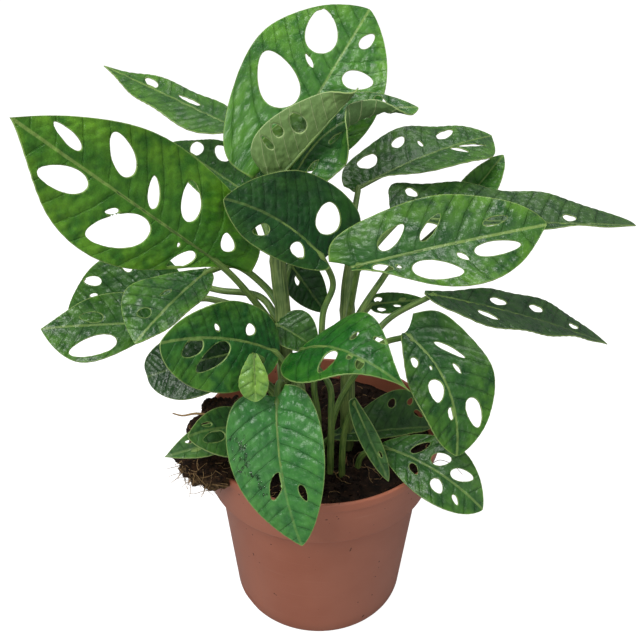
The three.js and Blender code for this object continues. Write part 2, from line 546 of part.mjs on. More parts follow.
function makeBlade(leaf) {
  const length = bladeLength(leaf);
  const halves = [-1, 1].map((sign) => {
    const outlines = leaf.holes.filter((hole) => Math.sign(hole[1]) === sign)
      .map((hole) => holeOutline(leaf, hole));
    return { sign, outlines, places: divisions(outlines, length) };
  });
  const ribPlaces = [...new Set(halves.flatMap(({ places }) => places))].sort((a, b) => a - b);
  const inner = leaf.curl || leaf.roll ? [0.25, 0.5, 0.75] : [0.5];

  const spots = [];
  const known = new Map();
  function spotAt([along, across]) {
    const key = along > tipFrom ? 'tip' : `${along.toFixed(5)} ${across.toFixed(5)}`;
    if (!known.has(key)) {
      known.set(key, spots.length);
      spots.push(along > tipFrom ? [1, 0] : [along, across]);
    }
    return known.get(key);
  }

  // A panel laid out flat, its straight sides bowed in so that no triangle lies along one of them.
  function flat([t, s], side, [low, high]) {
    const share = Math.abs(s);
    const width = halfWidth(leaf, side, Math.min(t, tipFrom));
    const bow = panelBow * Math.sign(low + high - 2 * t);
    return new THREE.Vector2(
      t * length + bow * share * (1 - share),
      share * (width + 1) + (8 * panelBow * (1 - share) * (t - low) * (high - t)) / (high - low),
    );
  }

  const faces = [];
  for (const { sign, outlines, places } of halves) {
    const side = sign < 0 ? 0 : 1;
    for (let i = 1; i < places.length; i += 1) {
      const [low, high] = [places[i - 1], places[i]];
      const ring = ribPlaces.filter((t) => t >= low && t <= high).map((t) => [t, 0]);
      if (high < 1) {
        ring.push(...inner.map((s) => [high, sign * s]));
      }
      const margin = [0, 1, 2, 3, 4].map((k) => bladePoint(leaf, low + ((high - low) * k) / 4, sign));
      const reach = [1, 2, 3, 4].reduce((sum, k) => sum + margin[k].distanceTo(margin[k - 1]), 0);
      const steps = Math.max(1, Math.round(reach / marginStep));
      for (let k = high < 1 ? 0 : 1; k <= steps; k += 1) {
        ring.push([high + ((low - high) * k) / steps, sign]);
      }
      ring.push(...inner.toReversed().map((s) => [low, sign * s]));
      const cutouts = outlines.filter(([[t]]) => t > low && t < high);
      const corners = [...ring, ...cutouts.flat()];
      const laid = (corner) => flat(corner, side, [low, high]);
      const triangles = THREE.ShapeUtils.triangulateShape(
        ring.map(laid),
        cutouts.map((outline) => outline.map(laid)),
      );
      for (const triangle of evened(triangles, corners.map(laid))) {
        const [p, q, r] = triangle.map((corner) => laid(corners[corner]));
        const area = sign * ((q.x - p.x) * (r.y - p.y) - (q.y - p.y) * (r.x - p.x));
        const face = triangle.map((corner) => spotAt(corners[corner]));
        faces.push(area < 0 ? face : face.toReversed());
      }
    }
  }

  const points = [];
  for (const side of [1, -1]) {
    for (const [along, across] of spots) {
      const rib = side < 0 && across === 0 ? ribDepth * (1 - along) : 0;
      const offset = side * (bladeThickness / 2 + rib);
      const point = bladePoint(leaf, along, across);
      points.push(...point.addScaledVector(bladeNormal(leaf, along, across), offset).toArray());
    }
  }
  const under = spots.length;
  const index = [];
  const edges = new Set(faces.flatMap(([a, b, c]) => [`${a} ${b}`, `${b} ${c}`, `${c} ${a}`]));
  for (const [a, b, c] of faces) {
    index.push(a, b, c, under + c, under + b, under + a);
    for (const [p, q] of [[a, b], [b, c], [c, a]]) {
      if (!edges.has(`${q} ${p}`)) {
        index.push(q, p, under + p, q, under + p, under + q);
      }
    }
  }
  const geometry = new THREE.BufferGeometry();
  geometry.setAttribute('position', new THREE.Float32BufferAttribute(points, 3));
  geometry.setIndex(index);
  return solidOf(geometry);
}

function stalkOf(leaf, gap) {
  const joint = bladePoint(leaf, bladeReach, 0).toArray();
  return rod([...leaf.stalk, joint], stalkRadius, stalkSides, stalkStep, gap);
}

// ---------------------------------------------------------------- assembly
const grownStems = stems.map((stem) => rod(stem.line, stem.radius, stemSides, stemStep, touchGap));
const standing = leaves.filter((leaf) => leaf.stalk[0][2] === rootEnd);
const soilHoles = [...grownStems, ...standing.map((leaf) => stalkOf(leaf, touchGap))];

const plant = new THREE.Group();
plant.add(meshOf('pot', makePot(), 0x96604c, 0.5));
plant.add(meshOf('soil', soilBody(0).subtract(wasm.Manifold.union(soilHoles)), 0x2a1d16, 0.95));
plant.add(meshOf('root_clump', makeRootClump(), 0x5a4433, 0.95));
for (const stem of stems) {
  plant.add(meshOf(stem.name, rod(stem.line, stem.radius, stemSides, stemStep), 0x5f7f3a, 0.5));
}
for (const leaf of leaves) {
  const grown = makeBlade(leaf).add(stalkOf(leaf, 0)).subtract(wasm.Manifold.union(grownStems));
  // a scrap that comes loose where the stalk meets the blade is dropped
  const [solid] = grown.decompose().sort((a, b) => b.volume() - a.volume());
  plant.add(meshOf(leaf.name, solid, leaf.color, 0.45));
}

export default plant;
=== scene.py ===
# A potted Swiss cheese vine (Monstera adansonii): holed, pointed leaves on slender stalks, in soil in
# a 12 cm nursery pot of terracotta-brown plastic.
import math
import random

import bmesh
import bpy
from mathutils import Matrix, Vector, noise


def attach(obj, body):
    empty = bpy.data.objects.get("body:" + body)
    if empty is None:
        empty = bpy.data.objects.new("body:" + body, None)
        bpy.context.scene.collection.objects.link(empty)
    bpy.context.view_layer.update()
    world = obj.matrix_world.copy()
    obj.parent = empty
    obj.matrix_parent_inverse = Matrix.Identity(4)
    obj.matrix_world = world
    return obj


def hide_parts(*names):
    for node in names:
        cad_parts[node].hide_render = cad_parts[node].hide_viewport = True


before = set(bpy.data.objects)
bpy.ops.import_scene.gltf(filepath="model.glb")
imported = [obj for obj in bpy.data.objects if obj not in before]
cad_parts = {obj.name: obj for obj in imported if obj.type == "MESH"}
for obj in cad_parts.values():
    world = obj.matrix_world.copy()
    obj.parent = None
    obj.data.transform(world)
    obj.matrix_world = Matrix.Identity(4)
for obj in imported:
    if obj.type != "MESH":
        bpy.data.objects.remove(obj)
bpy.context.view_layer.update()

# ------------------------------------------------------------------ camera and studio
# A camera looks down on the plant, which stands on a white floor under large soft lights. The floor
# and the sky look white to the camera, but light the plant less than that.
mm = 0.001
camera_place = Vector((-0.5, -300, 329)) * mm
looking_down = 29.3
camera_tilt = math.radians(90 - looking_down)
camera_roll = 0.010
picture_size, focal_pixels, sensor_width = 640, 740, 36
floor_reach, floor_grey, floor_glow = 4.0, 0.4, 0.95
sky_light, sky_seen = 0.3, 1.0
white = (1.0, 1.0, 1.0, 1.0)

camera_data = bpy.data.cameras.new("camera")
camera_data.sensor_width = sensor_width
camera_data.lens = camera_data.sensor_width * focal_pixels / picture_size
camera_data.clip_start = 0.01
camera = bpy.data.objects.new("camera", camera_data)
turn = Matrix.Rotation(camera_tilt, 4, "X") @ Matrix.Rotation(camera_roll, 4, "Z")
camera.matrix_world = Matrix.Translation(camera_place) @ turn
bpy.context.collection.objects.link(camera)
bpy.context.scene.camera = camera
bpy.context.scene.view_settings.view_transform = "Standard"


def add_node(tree, kind, settings=None, sockets=None):
    """Add a node with its settings, each socket given a value or the output to link to it."""
    node = tree.nodes.new(kind)
    for key, value in (settings or {}).items():
        setattr(node, key, value)
    for key, value in (sockets or {}).items():
        if isinstance(value, bpy.types.NodeSocket):
            tree.links.new(value, node.inputs[key])
        else:
            node.inputs[key].default_value = value
    return node


def new_material(name, settings):
    """A material with one Principled shader, whose constants are set on its own sockets."""
    material = bpy.data.materials.new(name)
    material.use_nodes = True
    shader = material.node_tree.nodes["Principled BSDF"]
    for key, value in settings.items():
        shader.inputs[key].default_value = value
    return material, material.node_tree, shader


def calc(tree, operation, first, second=0.0):
    """The result of one sum on two values."""
    return add_node(tree, "ShaderNodeMath", {"operation": operation}, {0: first, 1: second}).outputs[0]


floor_shape = bmesh.new()
bmesh.ops.create_grid(floor_shape, x_segments=2, y_segments=2, size=floor_reach)
floor_mesh = bpy.data.meshes.new("floor")
floor_shape.to_mesh(floor_mesh)
floor_shape.free()
floor = bpy.data.objects.new("floor", floor_mesh)
floor_material, floor_tree, floor_shader = new_material("white floor", {
    "Base Color": (floor_grey, floor_grey, floor_grey, 1.0), "Roughness": 0.9, "Emission Color": white})
seen = floor_tree.nodes.new("ShaderNodeLightPath").outputs["Is Camera Ray"]
glow = calc(floor_tree, "MULTIPLY", seen, floor_glow)
floor_tree.links.new(glow, floor_shader.inputs["Emission Strength"])
floor_mesh.materials.append(floor_material)
bpy.context.collection.objects.link(floor)

world = bpy.data.worlds.new("white sky")
world.use_nodes = True
sky_tree = world.node_tree
sky = sky_tree.nodes["Background"]
sky.inputs["Color"].default_value = white
seen = sky_tree.nodes.new("ShaderNodeLightPath").outputs["Is Camera Ray"]
strength = add_node(sky_tree, "ShaderNodeMapRange", None,
                    {"Value": seen, "To Min": sky_light, "To Max": sky_seen})
sky_tree.links.new(strength.outputs[0], sky.inputs["Strength"])
bpy.context.scene.world = world

studio_lights = [
    # name, place, size, watts
    ("key light", (-0.45, -0.55, 1.05), 0.55, 8.5),
    ("top light", (0.35, 0.25, 1.15), 0.5, 3.0),
    ("front light", (0.3, -1.1, 0.35), 0.8, 1.5),
]
plant_middle = Vector((0.0, 0.0, 0.17))
for name, place, size, watts in studio_lights:
    lamp = bpy.data.lights.new(name, "AREA")
    lamp.size = size
    lamp.energy = watts
    light = bpy.data.objects.new(name, lamp)
    light.location = place
    light.rotation_euler = (plant_middle - Vector(place)).to_track_quat("-Z", "Y").to_euler()
    light.visible_camera = False
    bpy.context.collection.objects.link(light)


# ------------------------------------------------------------------ pot
# An injection-moulded nursery pot of thin satin plastic. Its wall steps out to a collar that ends in a
# small lip, and it stands on a foot ring with drain holes inside it.
pot_height, rim_radius, lip_height, lip_depth = 102, 60, 5, 0.8
step_height, collar_radius, shoulder_radius = 76, 56.7, 52
base_radius, base_round, wall, floor_thickness = 45.2, 2.5, 1.8, 2.5
corner_round, lip_round, inner_round = 0.8, 0.5, 0.6
foot_rise, foot_width = 0.8, 6
drain_holes, drain_hole_radius, drain_ring_radius, drill_length = 8, 3.5, 30, 14
notch_angle, notch_depth, notch_height = math.radians(218), 0.8, 7
pot_sides = 192
pot_brown, pot_light_brown = "b0664b", "ba7258"
scuff_colour, low_down_colour, speck_colour = "d09a83", "7a4734", "3a2419"


def colour(code):
    """The linear colour of a web colour code."""
    parts = [int(code[i:i + 2], 16) / 255 for i in (0, 2, 4)]
    return (*[((part + 0.055) / 1.055) ** 2.4 if part > 0.04 else part / 12.92 for part in parts], 1.0)


def times(tree, first, second):
    return calc(tree, "MULTIPLY", first, second)


def plus(tree, first, second):
    return calc(tree, "ADD", first, second)


def eased(tree, value, low, high):
    """0 where the value is under low, 1 where it is over high, and smooth between."""
    settings = {"interpolation_type": "SMOOTHSTEP"}
    sockets = {"Value": value, "From Min": low, "From Max": high}
    if low > high:
        sockets = {"Value": value, "From Min": high, "From Max": low, "To Min": 1.0, "To Max": 0.0}
    return add_node(tree, "ShaderNodeMapRange", settings, sockets).outputs[0]


def mixed(tree, share, first, second, blend="MIX"):
    """Two colours mixed by a share. Either may be a web colour code."""
    ends = [colour(end) if isinstance(end, str) else end for end in (first, second)]
    settings = {"data_type": "RGBA", "blend_type": blend, "clamp_factor": True}
    return add_node(tree, "ShaderNodeMix", settings, {0: share, 6: ends[0], 7: ends[1]}).outputs[2]


def noise_in(tree, place, scale, detail=3.0, roughness=0.55):
    """A noise texture's value at a place."""
    sockets = {"Vector": place, "Scale": scale, "Detail": detail, "Roughness": roughness}
    return add_node(tree, "ShaderNodeTexNoise", None, sockets).outputs[0]


def object_place(tree):
    return add_node(tree, "ShaderNodeTexCoord").outputs["Object"]


def stretched(tree, place, scale):
    """A place scaled along its three axes."""
    return add_node(tree, "ShaderNodeMapping", None, {0: place, 3: scale}).outputs[0]


def parts_of(tree, place):
    """The three numbers of a place."""
    return add_node(tree, "ShaderNodeSeparateXYZ", None, {0: place}).outputs


def embossed(tree, shader, height, strength, depth, inverted=False):
    """Give a material's surface the relief of a height."""
    bump = add_node(tree, "ShaderNodeBump", {"invert": inverted},
                    {"Strength": strength, "Distance": depth, "Height": height})
    tree.links.new(bump.outputs[0], shader.inputs["Normal"])


def turned(profile, steps):
    """A shape turned round the pot's axis from its profile of (radius, height) in millimetres."""
    shape = bmesh.new()
    corners = [shape.verts.new((radius * mm, 0, height * mm)) for radius, height in profile]
    edges = [shape.edges.new(pair) for pair in zip(corners, corners[1:])]
    bmesh.ops.spin(shape, geom=corners + edges, cent=(0, 0, 0), axis=(0, 0, 1), angle=2 * math.pi,
                   steps=steps, use_merge=True)
    bmesh.ops.remove_doubles(shape, verts=shape.verts, dist=0.001 * mm)
    bmesh.ops.recalc_face_normals(shape, faces=shape.faces)
    return shape


def arc(centre, radius, start, end, steps=5):
    """Points of a rounded corner in a profile, its angles in degrees."""
    angles = [math.radians(start + (end - start) * i / steps) for i in range(steps + 1)]
    return [(centre[0] + radius * math.cos(a), centre[1] + radius * math.sin(a)) for a in angles]


def new_piece(name, shape, nodes, materials, sharp=80):
    """Make a shape into a piece that stands for its nodes, crisp at edges past the sharp angle."""
    mesh = bpy.data.meshes.new(name)
    shape.to_mesh(mesh)
    shape.free()
    for material in materials:
        mesh.materials.append(material)
    mesh.shade_smooth()
    mesh.set_sharp_from_angle(angle=math.radians(sharp))
    piece = bpy.data.objects.new(name, mesh)
    bpy.context.collection.objects.link(piece)
    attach(piece, "root")
    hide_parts(*nodes)
    return piece


def cut_away(piece, cutter_shape):
    """Cut a shape out of a piece."""
    cutter_mesh = bpy.data.meshes.new("cutter")
    cutter_shape.to_mesh(cutter_mesh)
    cutter_shape.free()
    cutter = bpy.data.objects.new("cutter", cutter_mesh)
    bpy.context.collection.objects.link(cutter)
    cut = piece.modifiers.new("cut", "BOOLEAN")
    cut.object = cutter
    cut.solver = "EXACT"
    piece_now = piece.evaluated_get(bpy.context.evaluated_depsgraph_get())
    piece.data = bpy.data.meshes.new_from_object(piece_now)
    piece.modifiers.clear()
    bpy.data.objects.remove(cutter)


pad_radius = drain_ring_radius - drain_hole_radius - foot_width
foot_inner = base_radius - foot_width
lip_foot = pot_height - lip_height
pot_profile = [
    (0, 0), (pad_radius, 0), (pad_radius, foot_rise), (foot_inner, foot_rise), (foot_inner, 0),
    *arc((base_radius - base_round, base_round), base_round, -90, -4),
    (shoulder_radius - 0.05, step_height - 1),
    *arc((shoulder_radius + corner_round, step_height - corner_round), corner_round, 180, 90, 3),
    *arc((collar_radius - corner_round, step_height + corner_round), corner_round, -90, 0, 3),
    (rim_radius - lip_depth, lip_foot),
    *arc((rim_radius - lip_round, lip_foot + 0.9), lip_round, -60, 0, 3),
    *arc((rim_radius - corner_round, pot_height - corner_round), corner_round, 0, 90, 4),
    *arc((rim_radius - wall + inner_round, pot_height - inner_round), inner_round, 90, 180, 3),
    (collar_radius - wall, step_height + wall), (shoulder_radius - wall, step_height + wall),
    (base_radius - wall, foot_rise + floor_thickness), (0, foot_rise + floor_thickness),
]
pot_plastic, tree, shader = new_material("pot plastic", {"Roughness": 0.42, "Coat Weight": 0.15,
                                                         "Coat Roughness": 0.3})
place = object_place(tree)
cloud = noise_in(tree, place, 22.0)
grain = noise_in(tree, place, 1800.0, 2.0)
speck = eased(tree, noise_in(tree, place, 420.0, 1.0), 0.75, 0.79)
scuff = eased(tree, noise_in(tree, stretched(tree, place, (30.0, 30.0, 900.0)), 1.0, 2.0), 0.62, 0.8)
# The lowest 9 mm of the pot are mixed towards a darker brown, darkest where it meets the floor.
low_down_darkening = eased(tree, parts_of(tree, place)[2], 0.009, 0.0)
plastic = mixed(tree, eased(tree, cloud, 0.3, 0.7), pot_brown, pot_light_brown)
plastic = mixed(tree, times(tree, scuff, 0.18), plastic, scuff_colour)
plastic = mixed(tree, times(tree, low_down_darkening, 0.4), plastic, low_down_colour)
plastic = mixed(tree, times(tree, speck, 0.8), plastic, speck_colour)
tree.links.new(plastic, shader.inputs["Base Color"])
dull = plus(tree, times(tree, cloud, 0.14), 0.36)
tree.links.new(plus(tree, dull, times(tree, speck, 0.3)), shader.inputs["Roughness"])
embossed(tree, shader, grain, 0.25, 0.08 * mm)

pot = new_piece("nursery_pot", turned(pot_profile, pot_sides), ["pot"], [pot_plastic], 35)
cutters = bmesh.new()
for i in range(drain_holes):
    angle = 2 * math.pi * (i + 0.5) / drain_holes
    drill_place = Vector((math.cos(angle), math.sin(angle), 0)) * drain_ring_radius * mm
    bmesh.ops.create_cone(cutters, cap_ends=True, segments=32, radius1=drain_hole_radius * mm,
                          radius2=drain_hole_radius * mm, depth=drill_length * mm,
                          matrix=Matrix.Translation(drill_place))
notch_middle = Matrix.Translation(Vector((base_radius - notch_depth + notch_height, 0, 0)) * mm)
notch_turn = Matrix.Rotation(notch_angle, 4, "Z")
notch_size = Matrix.Diagonal((2 * notch_height, base_radius, 2 * notch_height, 1))
bmesh.ops.create_cube(cutters, size=mm, matrix=notch_turn @ notch_middle @ notch_size)
cut_away(pot, cutters)


# ------------------------------------------------------------------ soil
# Dark peat potting soil fills the pot to just under the rim: a lumpy surface with crumbs, bits of bark
# and fine broken roots lying on it.
soil_height, soil_lump, level_edge = 91, 2.2, 12
gap = 0.3
soil_radius = collar_radius - wall - gap + (rim_radius - collar_radius) * (
    (soil_height - step_height - wall) / (pot_height - step_height - wall))
soil_rings, soil_sides = 56, 220
crumb_count, litter_count = 760, 90
peat_dark, peat_light, fleck_colour = "120d0a", "3a281d", "6b4d36"
root_dark, root_light, root_streak = "4a3424", "a58458", "c9aa78"
dice = random.Random(8410)


def soil_bump(x, y):
    """The height of the soil's lumps at a place, in millimetres."""
    coarse = math.sin(0.13 * x + 1.7) * math.cos(0.11 * y - 0.6)
    fine = math.sin(0.31 * x - 0.27 * y) * math.cos(0.29 * x + 0.36 * y + 2)
    return soil_lump * (0.6 * coarse + 0.5 * fine)


def soil_top(x, y):
    """The height of the soil's surface in millimetres."""
    free = min(max((soil_radius - math.hypot(x, y)) / level_edge, 0), 1)
    spot = Vector((x, y, 0))
    crumbly = 1.5 * noise.fractal(spot * 0.16, 0.9, 2.1, 4) + 0.9 * noise.noise(spot * 0.9)
    return soil_height + free * (soil_bump(x, y) + crumbly) + (1 - free) * 0.3 * crumbly


def along_line(points, step):
    """Evenly spaced points on the smooth line through the given ones."""
    line = [Vector(point) for point in points]
    line = [2 * line[0] - line[1], *line, 2 * line[-1] - line[-2]]
    result = []
    for before, start, end, after in zip(line, line[1:], line[2:], line[3:]):
        knots = [0.0]
        for first, second in ((before, start), (start, end), (end, after)):
            knots.append(knots[-1] + max((second - first).length, 1e-6) ** 0.5)
        count = max(2, round((end - start).length / step))
        for i in range(count):
            t = knots[1] + (knots[2] - knots[1]) * i / count
            corners = (before, start, end, after)
            outer = [corners[k].lerp(corners[k + 1], (t - knots[k]) / (knots[k + 1] - knots[k]))
                     for k in range(3)]
            inner = [outer[k].lerp(outer[k + 1], (t - knots[k]) / (knots[k + 2] - knots[k]))
                     for k in range(2)]
            result.append(inner[0].lerp(inner[1], (t - knots[1]) / (knots[2] - knots[1])))
    return [*result, Vector(points[-1])]


def add_rod(shape, line, radii, sides, strand=0.0):
    """Sweep a round section along a line of points in millimetres, closed at both ends."""
    count = len(line) - 1
    layers = shape.verts.layers.float_vector
    grain_layer = layers.get("grain") or layers.new("grain")
    made = bmesh.ops.create_grid(shape, x_segments=count, y_segments=sides, size=1)["verts"]
    frames = []
    normal = Vector((0.31, 0.83, 0.45))
    reach = 0.0
    for i, point in enumerate(line):
        tangent = (line[min(i + 1, count)] - line[max(i - 1, 0)]).normalized()
        normal = (normal - tangent * normal.dot(tangent)).normalized()
        reach += (point - line[max(i - 1, 0)]).length
        frames.append((point, normal.copy(), tangent.cross(normal), radii[i], reach))
    seam = []
    ends = []
    for vert in made:
        step = round((vert.co.x + 1) / 2 * count)
        angle = math.pi * vert.co.y
        if abs(vert.co.y) > 0.999:
            seam.append(vert)
        if step in (0, count):
            ends.append(vert)
        point, across, up, radius, reach = frames[step]
        round_place = Vector((math.cos(angle), math.sin(angle), 0))
        vert.co = (point + (across * round_place.x + up * round_place.y) * radius) * mm
        vert[grain_layer] = (round_place.x * 4, round_place.y * 4, reach + strand)
    bmesh.ops.remove_doubles(shape, verts=seam, dist=1e-4 * mm)
    rim = {edge for vert in ends if vert.is_valid for edge in vert.link_edges if edge.is_boundary}
    bmesh.ops.holes_fill(shape, edges=list(rim), sides=sides)


def wandering(start, heading, length, steps, bend, pull=0.0):
    """A fine root's line: it sets out along its heading and turns at random."""
    line = [Vector(start)]
    heading = Vector(heading).normalized()
    for _ in range(steps):
        turn_by = Vector((dice.uniform(-1, 1), dice.uniform(-1, 1), dice.uniform(-1, 1) - pull))
        heading = (heading + turn_by * bend).normalized()
        line.append(line[-1] + heading * length / steps)
    return line


soil_profile = [(0, soil_height)]
soil_profile += [(soil_radius * i / soil_rings, soil_height) for i in range(1, soil_rings + 1)]
soil_profile += [
    (collar_radius - wall - gap, step_height + wall + gap),
    (shoulder_radius - wall - gap, step_height + wall + gap),
    (base_radius - wall - gap, foot_rise + floor_thickness + gap),
    (0, foot_rise + floor_thickness + gap),
]
soil_shape = turned(soil_profile, soil_sides)
for vert in soil_shape.verts:
    if vert.co.z > (soil_height - 0.5) * mm:
        vert.co.z = soil_top(vert.co.x / mm, vert.co.y / mm) * mm

peat, tree, shader = new_material("peat", {"Roughness": 0.95, "Specular IOR Level": 0.25})
place = object_place(tree)
clods = noise_in(tree, place, 160.0, 6.0, 0.7)
flecks = eased(tree, noise_in(tree, place, 900.0, 2.0), 0.62, 0.72)
brown = mixed(tree, eased(tree, clods, 0.35, 0.7), peat_dark, peat_light)
brown = mixed(tree, times(tree, flecks, 0.5), brown, fleck_colour)
tree.links.new(brown, shader.inputs["Base Color"])
embossed(tree, shader, clods, 0.9, 0.9 * mm)
new_piece("soil_fill", soil_shape, ["soil"], [peat])

crumb_shape = bmesh.new()
for _ in range(crumb_count):
    reach, angle = soil_radius * math.sqrt(dice.random()) - 1, dice.uniform(0, 2 * math.pi)
    x, y = reach * math.cos(angle), reach * math.sin(angle)
    size = dice.uniform(0.5, 1.1) if dice.random() < 0.8 else dice.uniform(1.2, 2.4)
    stretch = Matrix.Diagonal((dice.uniform(0.7, 1.5), dice.uniform(0.6, 1.1), dice.uniform(0.5, 0.9), 1))
    tumble = Matrix.Rotation(dice.uniform(0, math.pi), 4, (dice.random(), dice.random(), 0.3))
    spot = Matrix.Translation(Vector((x, y, soil_top(x, y) + 0.2 * size)) * mm)
    made = bmesh.ops.create_icosphere(crumb_shape, subdivisions=1, radius=size * mm,
                                      matrix=spot @ tumble @ stretch)["verts"]
    for vert in made:
        vert.co += vert.co.normalized() * noise.noise(vert.co * 900) * 0.35 * size * mm
new_piece("soil_crumbs", crumb_shape, ["soil"], [peat])


def carried(tree, name):
    """What a mesh carries under a name."""
    return add_node(tree, "ShaderNodeAttribute", {"attribute_name": name}).outputs


straw, tree, shader = new_material("fine roots", {"Roughness": 0.8, "Specular IOR Level": 0.3})
strand_place = carried(tree, "grain")["Vector"]
varied = noise_in(tree, strand_place, 0.09, 2.0)
streak = noise_in(tree, stretched(tree, strand_place, (1.2, 1.2, 0.1)), 1.0)
root_brown = mixed(tree, eased(tree, varied, 0.35, 0.65), root_dark, root_light)
root_brown = mixed(tree, times(tree, streak, 0.35), root_brown, root_streak)
tree.links.new(root_brown, shader.inputs["Base Color"])

litter_shape = bmesh.new()
for i in range(litter_count):
    reach, angle = soil_radius * math.sqrt(dice.random()) * 0.97, dice.uniform(0, 2 * math.pi)
    x, y = reach * math.cos(angle), reach * math.sin(angle)
    heading = (dice.uniform(-1, 1), dice.uniform(-1, 1), 0.15)
    line = wandering((x, y, 0), heading, dice.uniform(5, 16), 9, 0.35)
    lying = []
    for point in line:
        if math.hypot(point.x, point.y) < soil_radius - 0.5:
            lying.append(Vector((point.x, point.y, soil_top(point.x, point.y) + 0.25 + 0.2 * point.z)))
    if len(lying) > 4:
        thick = dice.uniform(0.1, 0.28)
        add_rod(litter_shape, lying, [thick] * len(lying), 4, 40.0 * i)
loose_roots = [
    [(50, -24, 92), (54, -26, 98), (57, -30, 103), (62, -32, 102), (67, -33, 97)],
    [(49, -20, 92), (54, -19, 99), (60, -22, 103), (65, -26, 101)],
    [(46, -30, 92), (50, -31, 99), (52, -35, 101), (54, -38, 98)],
]
for k, points in enumerate(loose_roots):
    line = along_line(points, 1.5)
    add_rod(litter_shape, line, [0.22 - 0.12 * i / len(line) for i in range(len(line))], 5, 1000.0 * k)
new_piece("soil_fine_roots", litter_shape, ["soil"], [straw])


# ------------------------------------------------------------------ root clump
# A lump of peat held together by fine roots lies on the soil at the left and hangs over the rim. Dark
# crumbly peat is on top, and matted straw-brown roots hang out of it below.
clump_lumps = [
    # middle, radii
    ((-46, -18, 108), (15, 17, 18)),
    ((-50, -34, 105), (15, 13, 12)),
]
clump_roughness = 0.13
clump_root_count = 340
clump_dark, clump_light, mat_dark, mat_light = "17100b", "46301f", "33251a", "8f7550"


def clump_size(x, y, z):
    """How far the lump's surface stands out in a direction."""
    rough = math.sin(5 * x + 2 * z) * math.sin(6 * y + 1) + 0.6 * math.sin(11 * z - 7 * x + 3 * y)
    return 1 + clump_roughness * rough


clump_shape = bmesh.new()
for middle, radii in clump_lumps:
    made = bmesh.ops.create_icosphere(clump_shape, subdivisions=6, radius=1)["verts"]
    for vert in made:
        way = vert.co.normalized()
        size = clump_size(*way)
        rugged = noise.fractal(way * 3.5 + Vector(middle), 0.6, 2.2, 5) * 0.09
        shaggy = noise.noise(way * 22 + Vector(middle)) * 0.035
        size += rugged + shaggy - 0.02
        vert.co = Vector([middle[k] + size * radii[k] * way[k] for k in range(3)]) * mm

matted, tree, shader = new_material("matted peat", {"Roughness": 0.95, "Specular IOR Level": 0.2})
place = object_place(tree)
threads = noise_in(tree, place, 420.0, 6.0, 0.75)
low = eased(tree, parts_of(tree, place)[2], 0.106, 0.098)
dark_peat = mixed(tree, eased(tree, threads, 0.4, 0.65), clump_dark, clump_light)
root_mat = mixed(tree, eased(tree, threads, 0.35, 0.65), mat_dark, mat_light)
clump_brown = mixed(tree, times(tree, low, 0.8), dark_peat, root_mat)
tree.links.new(clump_brown, shader.inputs["Base Color"])
embossed(tree, shader, threads, 1.0, 1.2 * mm)
new_piece("root_clump_body", clump_shape, ["root_clump"], [matted])

root_shape = bmesh.new()
for i in range(clump_root_count):
    middle, radii = clump_lumps[0 if dice.random() < 0.55 else 1]
    way = Vector((dice.gauss(-0.35, 0.8), dice.gauss(-0.35, 0.8), dice.gauss(-0.25, 0.7))).normalized()
    size = clump_size(*way) - 0.04
    start = Vector([middle[k] + size * radii[k] * way[k] for k in range(3)])
    skim = way.cross(Vector((dice.uniform(-1, 1), dice.uniform(-1, 1), dice.uniform(-1, 1)))).normalized()
    heading = skim + way * dice.uniform(0.0, 0.35)
    line = wandering(start, heading, dice.uniform(4, 11), 8, 0.32, 0.25)
    line = [point for point in line if math.hypot(point.x, point.y) > rim_radius or point.z > pot_height]
    if len(line) > 4:
        thick = dice.uniform(0.09, 0.24)
        radii_along = [thick * (1 - 0.6 * k / len(line)) for k in range(len(line))]
        add_rod(root_shape, line, radii_along, 4, 30.0 * i)
twig = along_line([(-50, -24, 123), (-57, -26, 125.5), (-63, -27, 125), (-67, -28, 127)], 1.5)
add_rod(root_shape, twig, [0.7 - 0.4 * k / len(twig) for k in range(len(twig))], 7, 900.0)
new_piece("root_clump_fibres", root_shape, ["root_clump"], [straw])


# ------------------------------------------------------------------ stems
# Stout upright stems stand in the soil, pale olive green with fine lengthwise streaks and faint rings
# where old leaf sheaths were joined to them.
root_end = 74
stems = [
    # node, radius, line
    ("stem_left", 4, [(-14, -12, root_end), (-16, -12, 127), (-17, -12, 171), (-19, -8, 194),
                      (-18, -4, 212)]),
    ("stem_right", 3.8, [(14, -4, root_end), (13, -8, 130), (12, -7, 159), (12, -3, 178), (14, 2, 192)]),
    ("stem_front", 3, [(-6, -27, root_end), (-7, -27, 112), (-9, -27, 138), (-11, -27, 147)]),
]
ring_height, ring_every, ring_breadth, stem_taper, stem_sides = 0.35, 17, 1.2, 0.12, 28

streaks = bpy.data.node_groups.new("lengthwise streaks", "ShaderNodeTree")
for name, kind in (("Dark", "NodeSocketColor"), ("Pale", "NodeSocketColor")):
    streaks.interface.new_socket(name, in_out="INPUT", socket_type=kind)
for name, kind in (("Color", "NodeSocketColor"), ("Height", "NodeSocketFloat")):
    streaks.interface.new_socket(name, in_out="OUTPUT", socket_type=kind)
given = streaks.nodes.new("NodeGroupInput").outputs
grain = carried(streaks, "grain")["Vector"]
fine = noise_in(streaks, stretched(streaks, grain, (1.0, 1.0, 0.06)), 1.3)
blotch = noise_in(streaks, grain, 0.12)
share = plus(streaks, times(streaks, fine, 0.7), times(streaks, blotch, 0.4))
streak_colour = mixed(streaks, eased(streaks, share, 0.38, 0.7), given["Dark"], given["Pale"])
taken = streaks.nodes.new("NodeGroupOutput")
streaks.links.new(streak_colour, taken.inputs["Color"])
streaks.links.new(fine, taken.inputs["Height"])


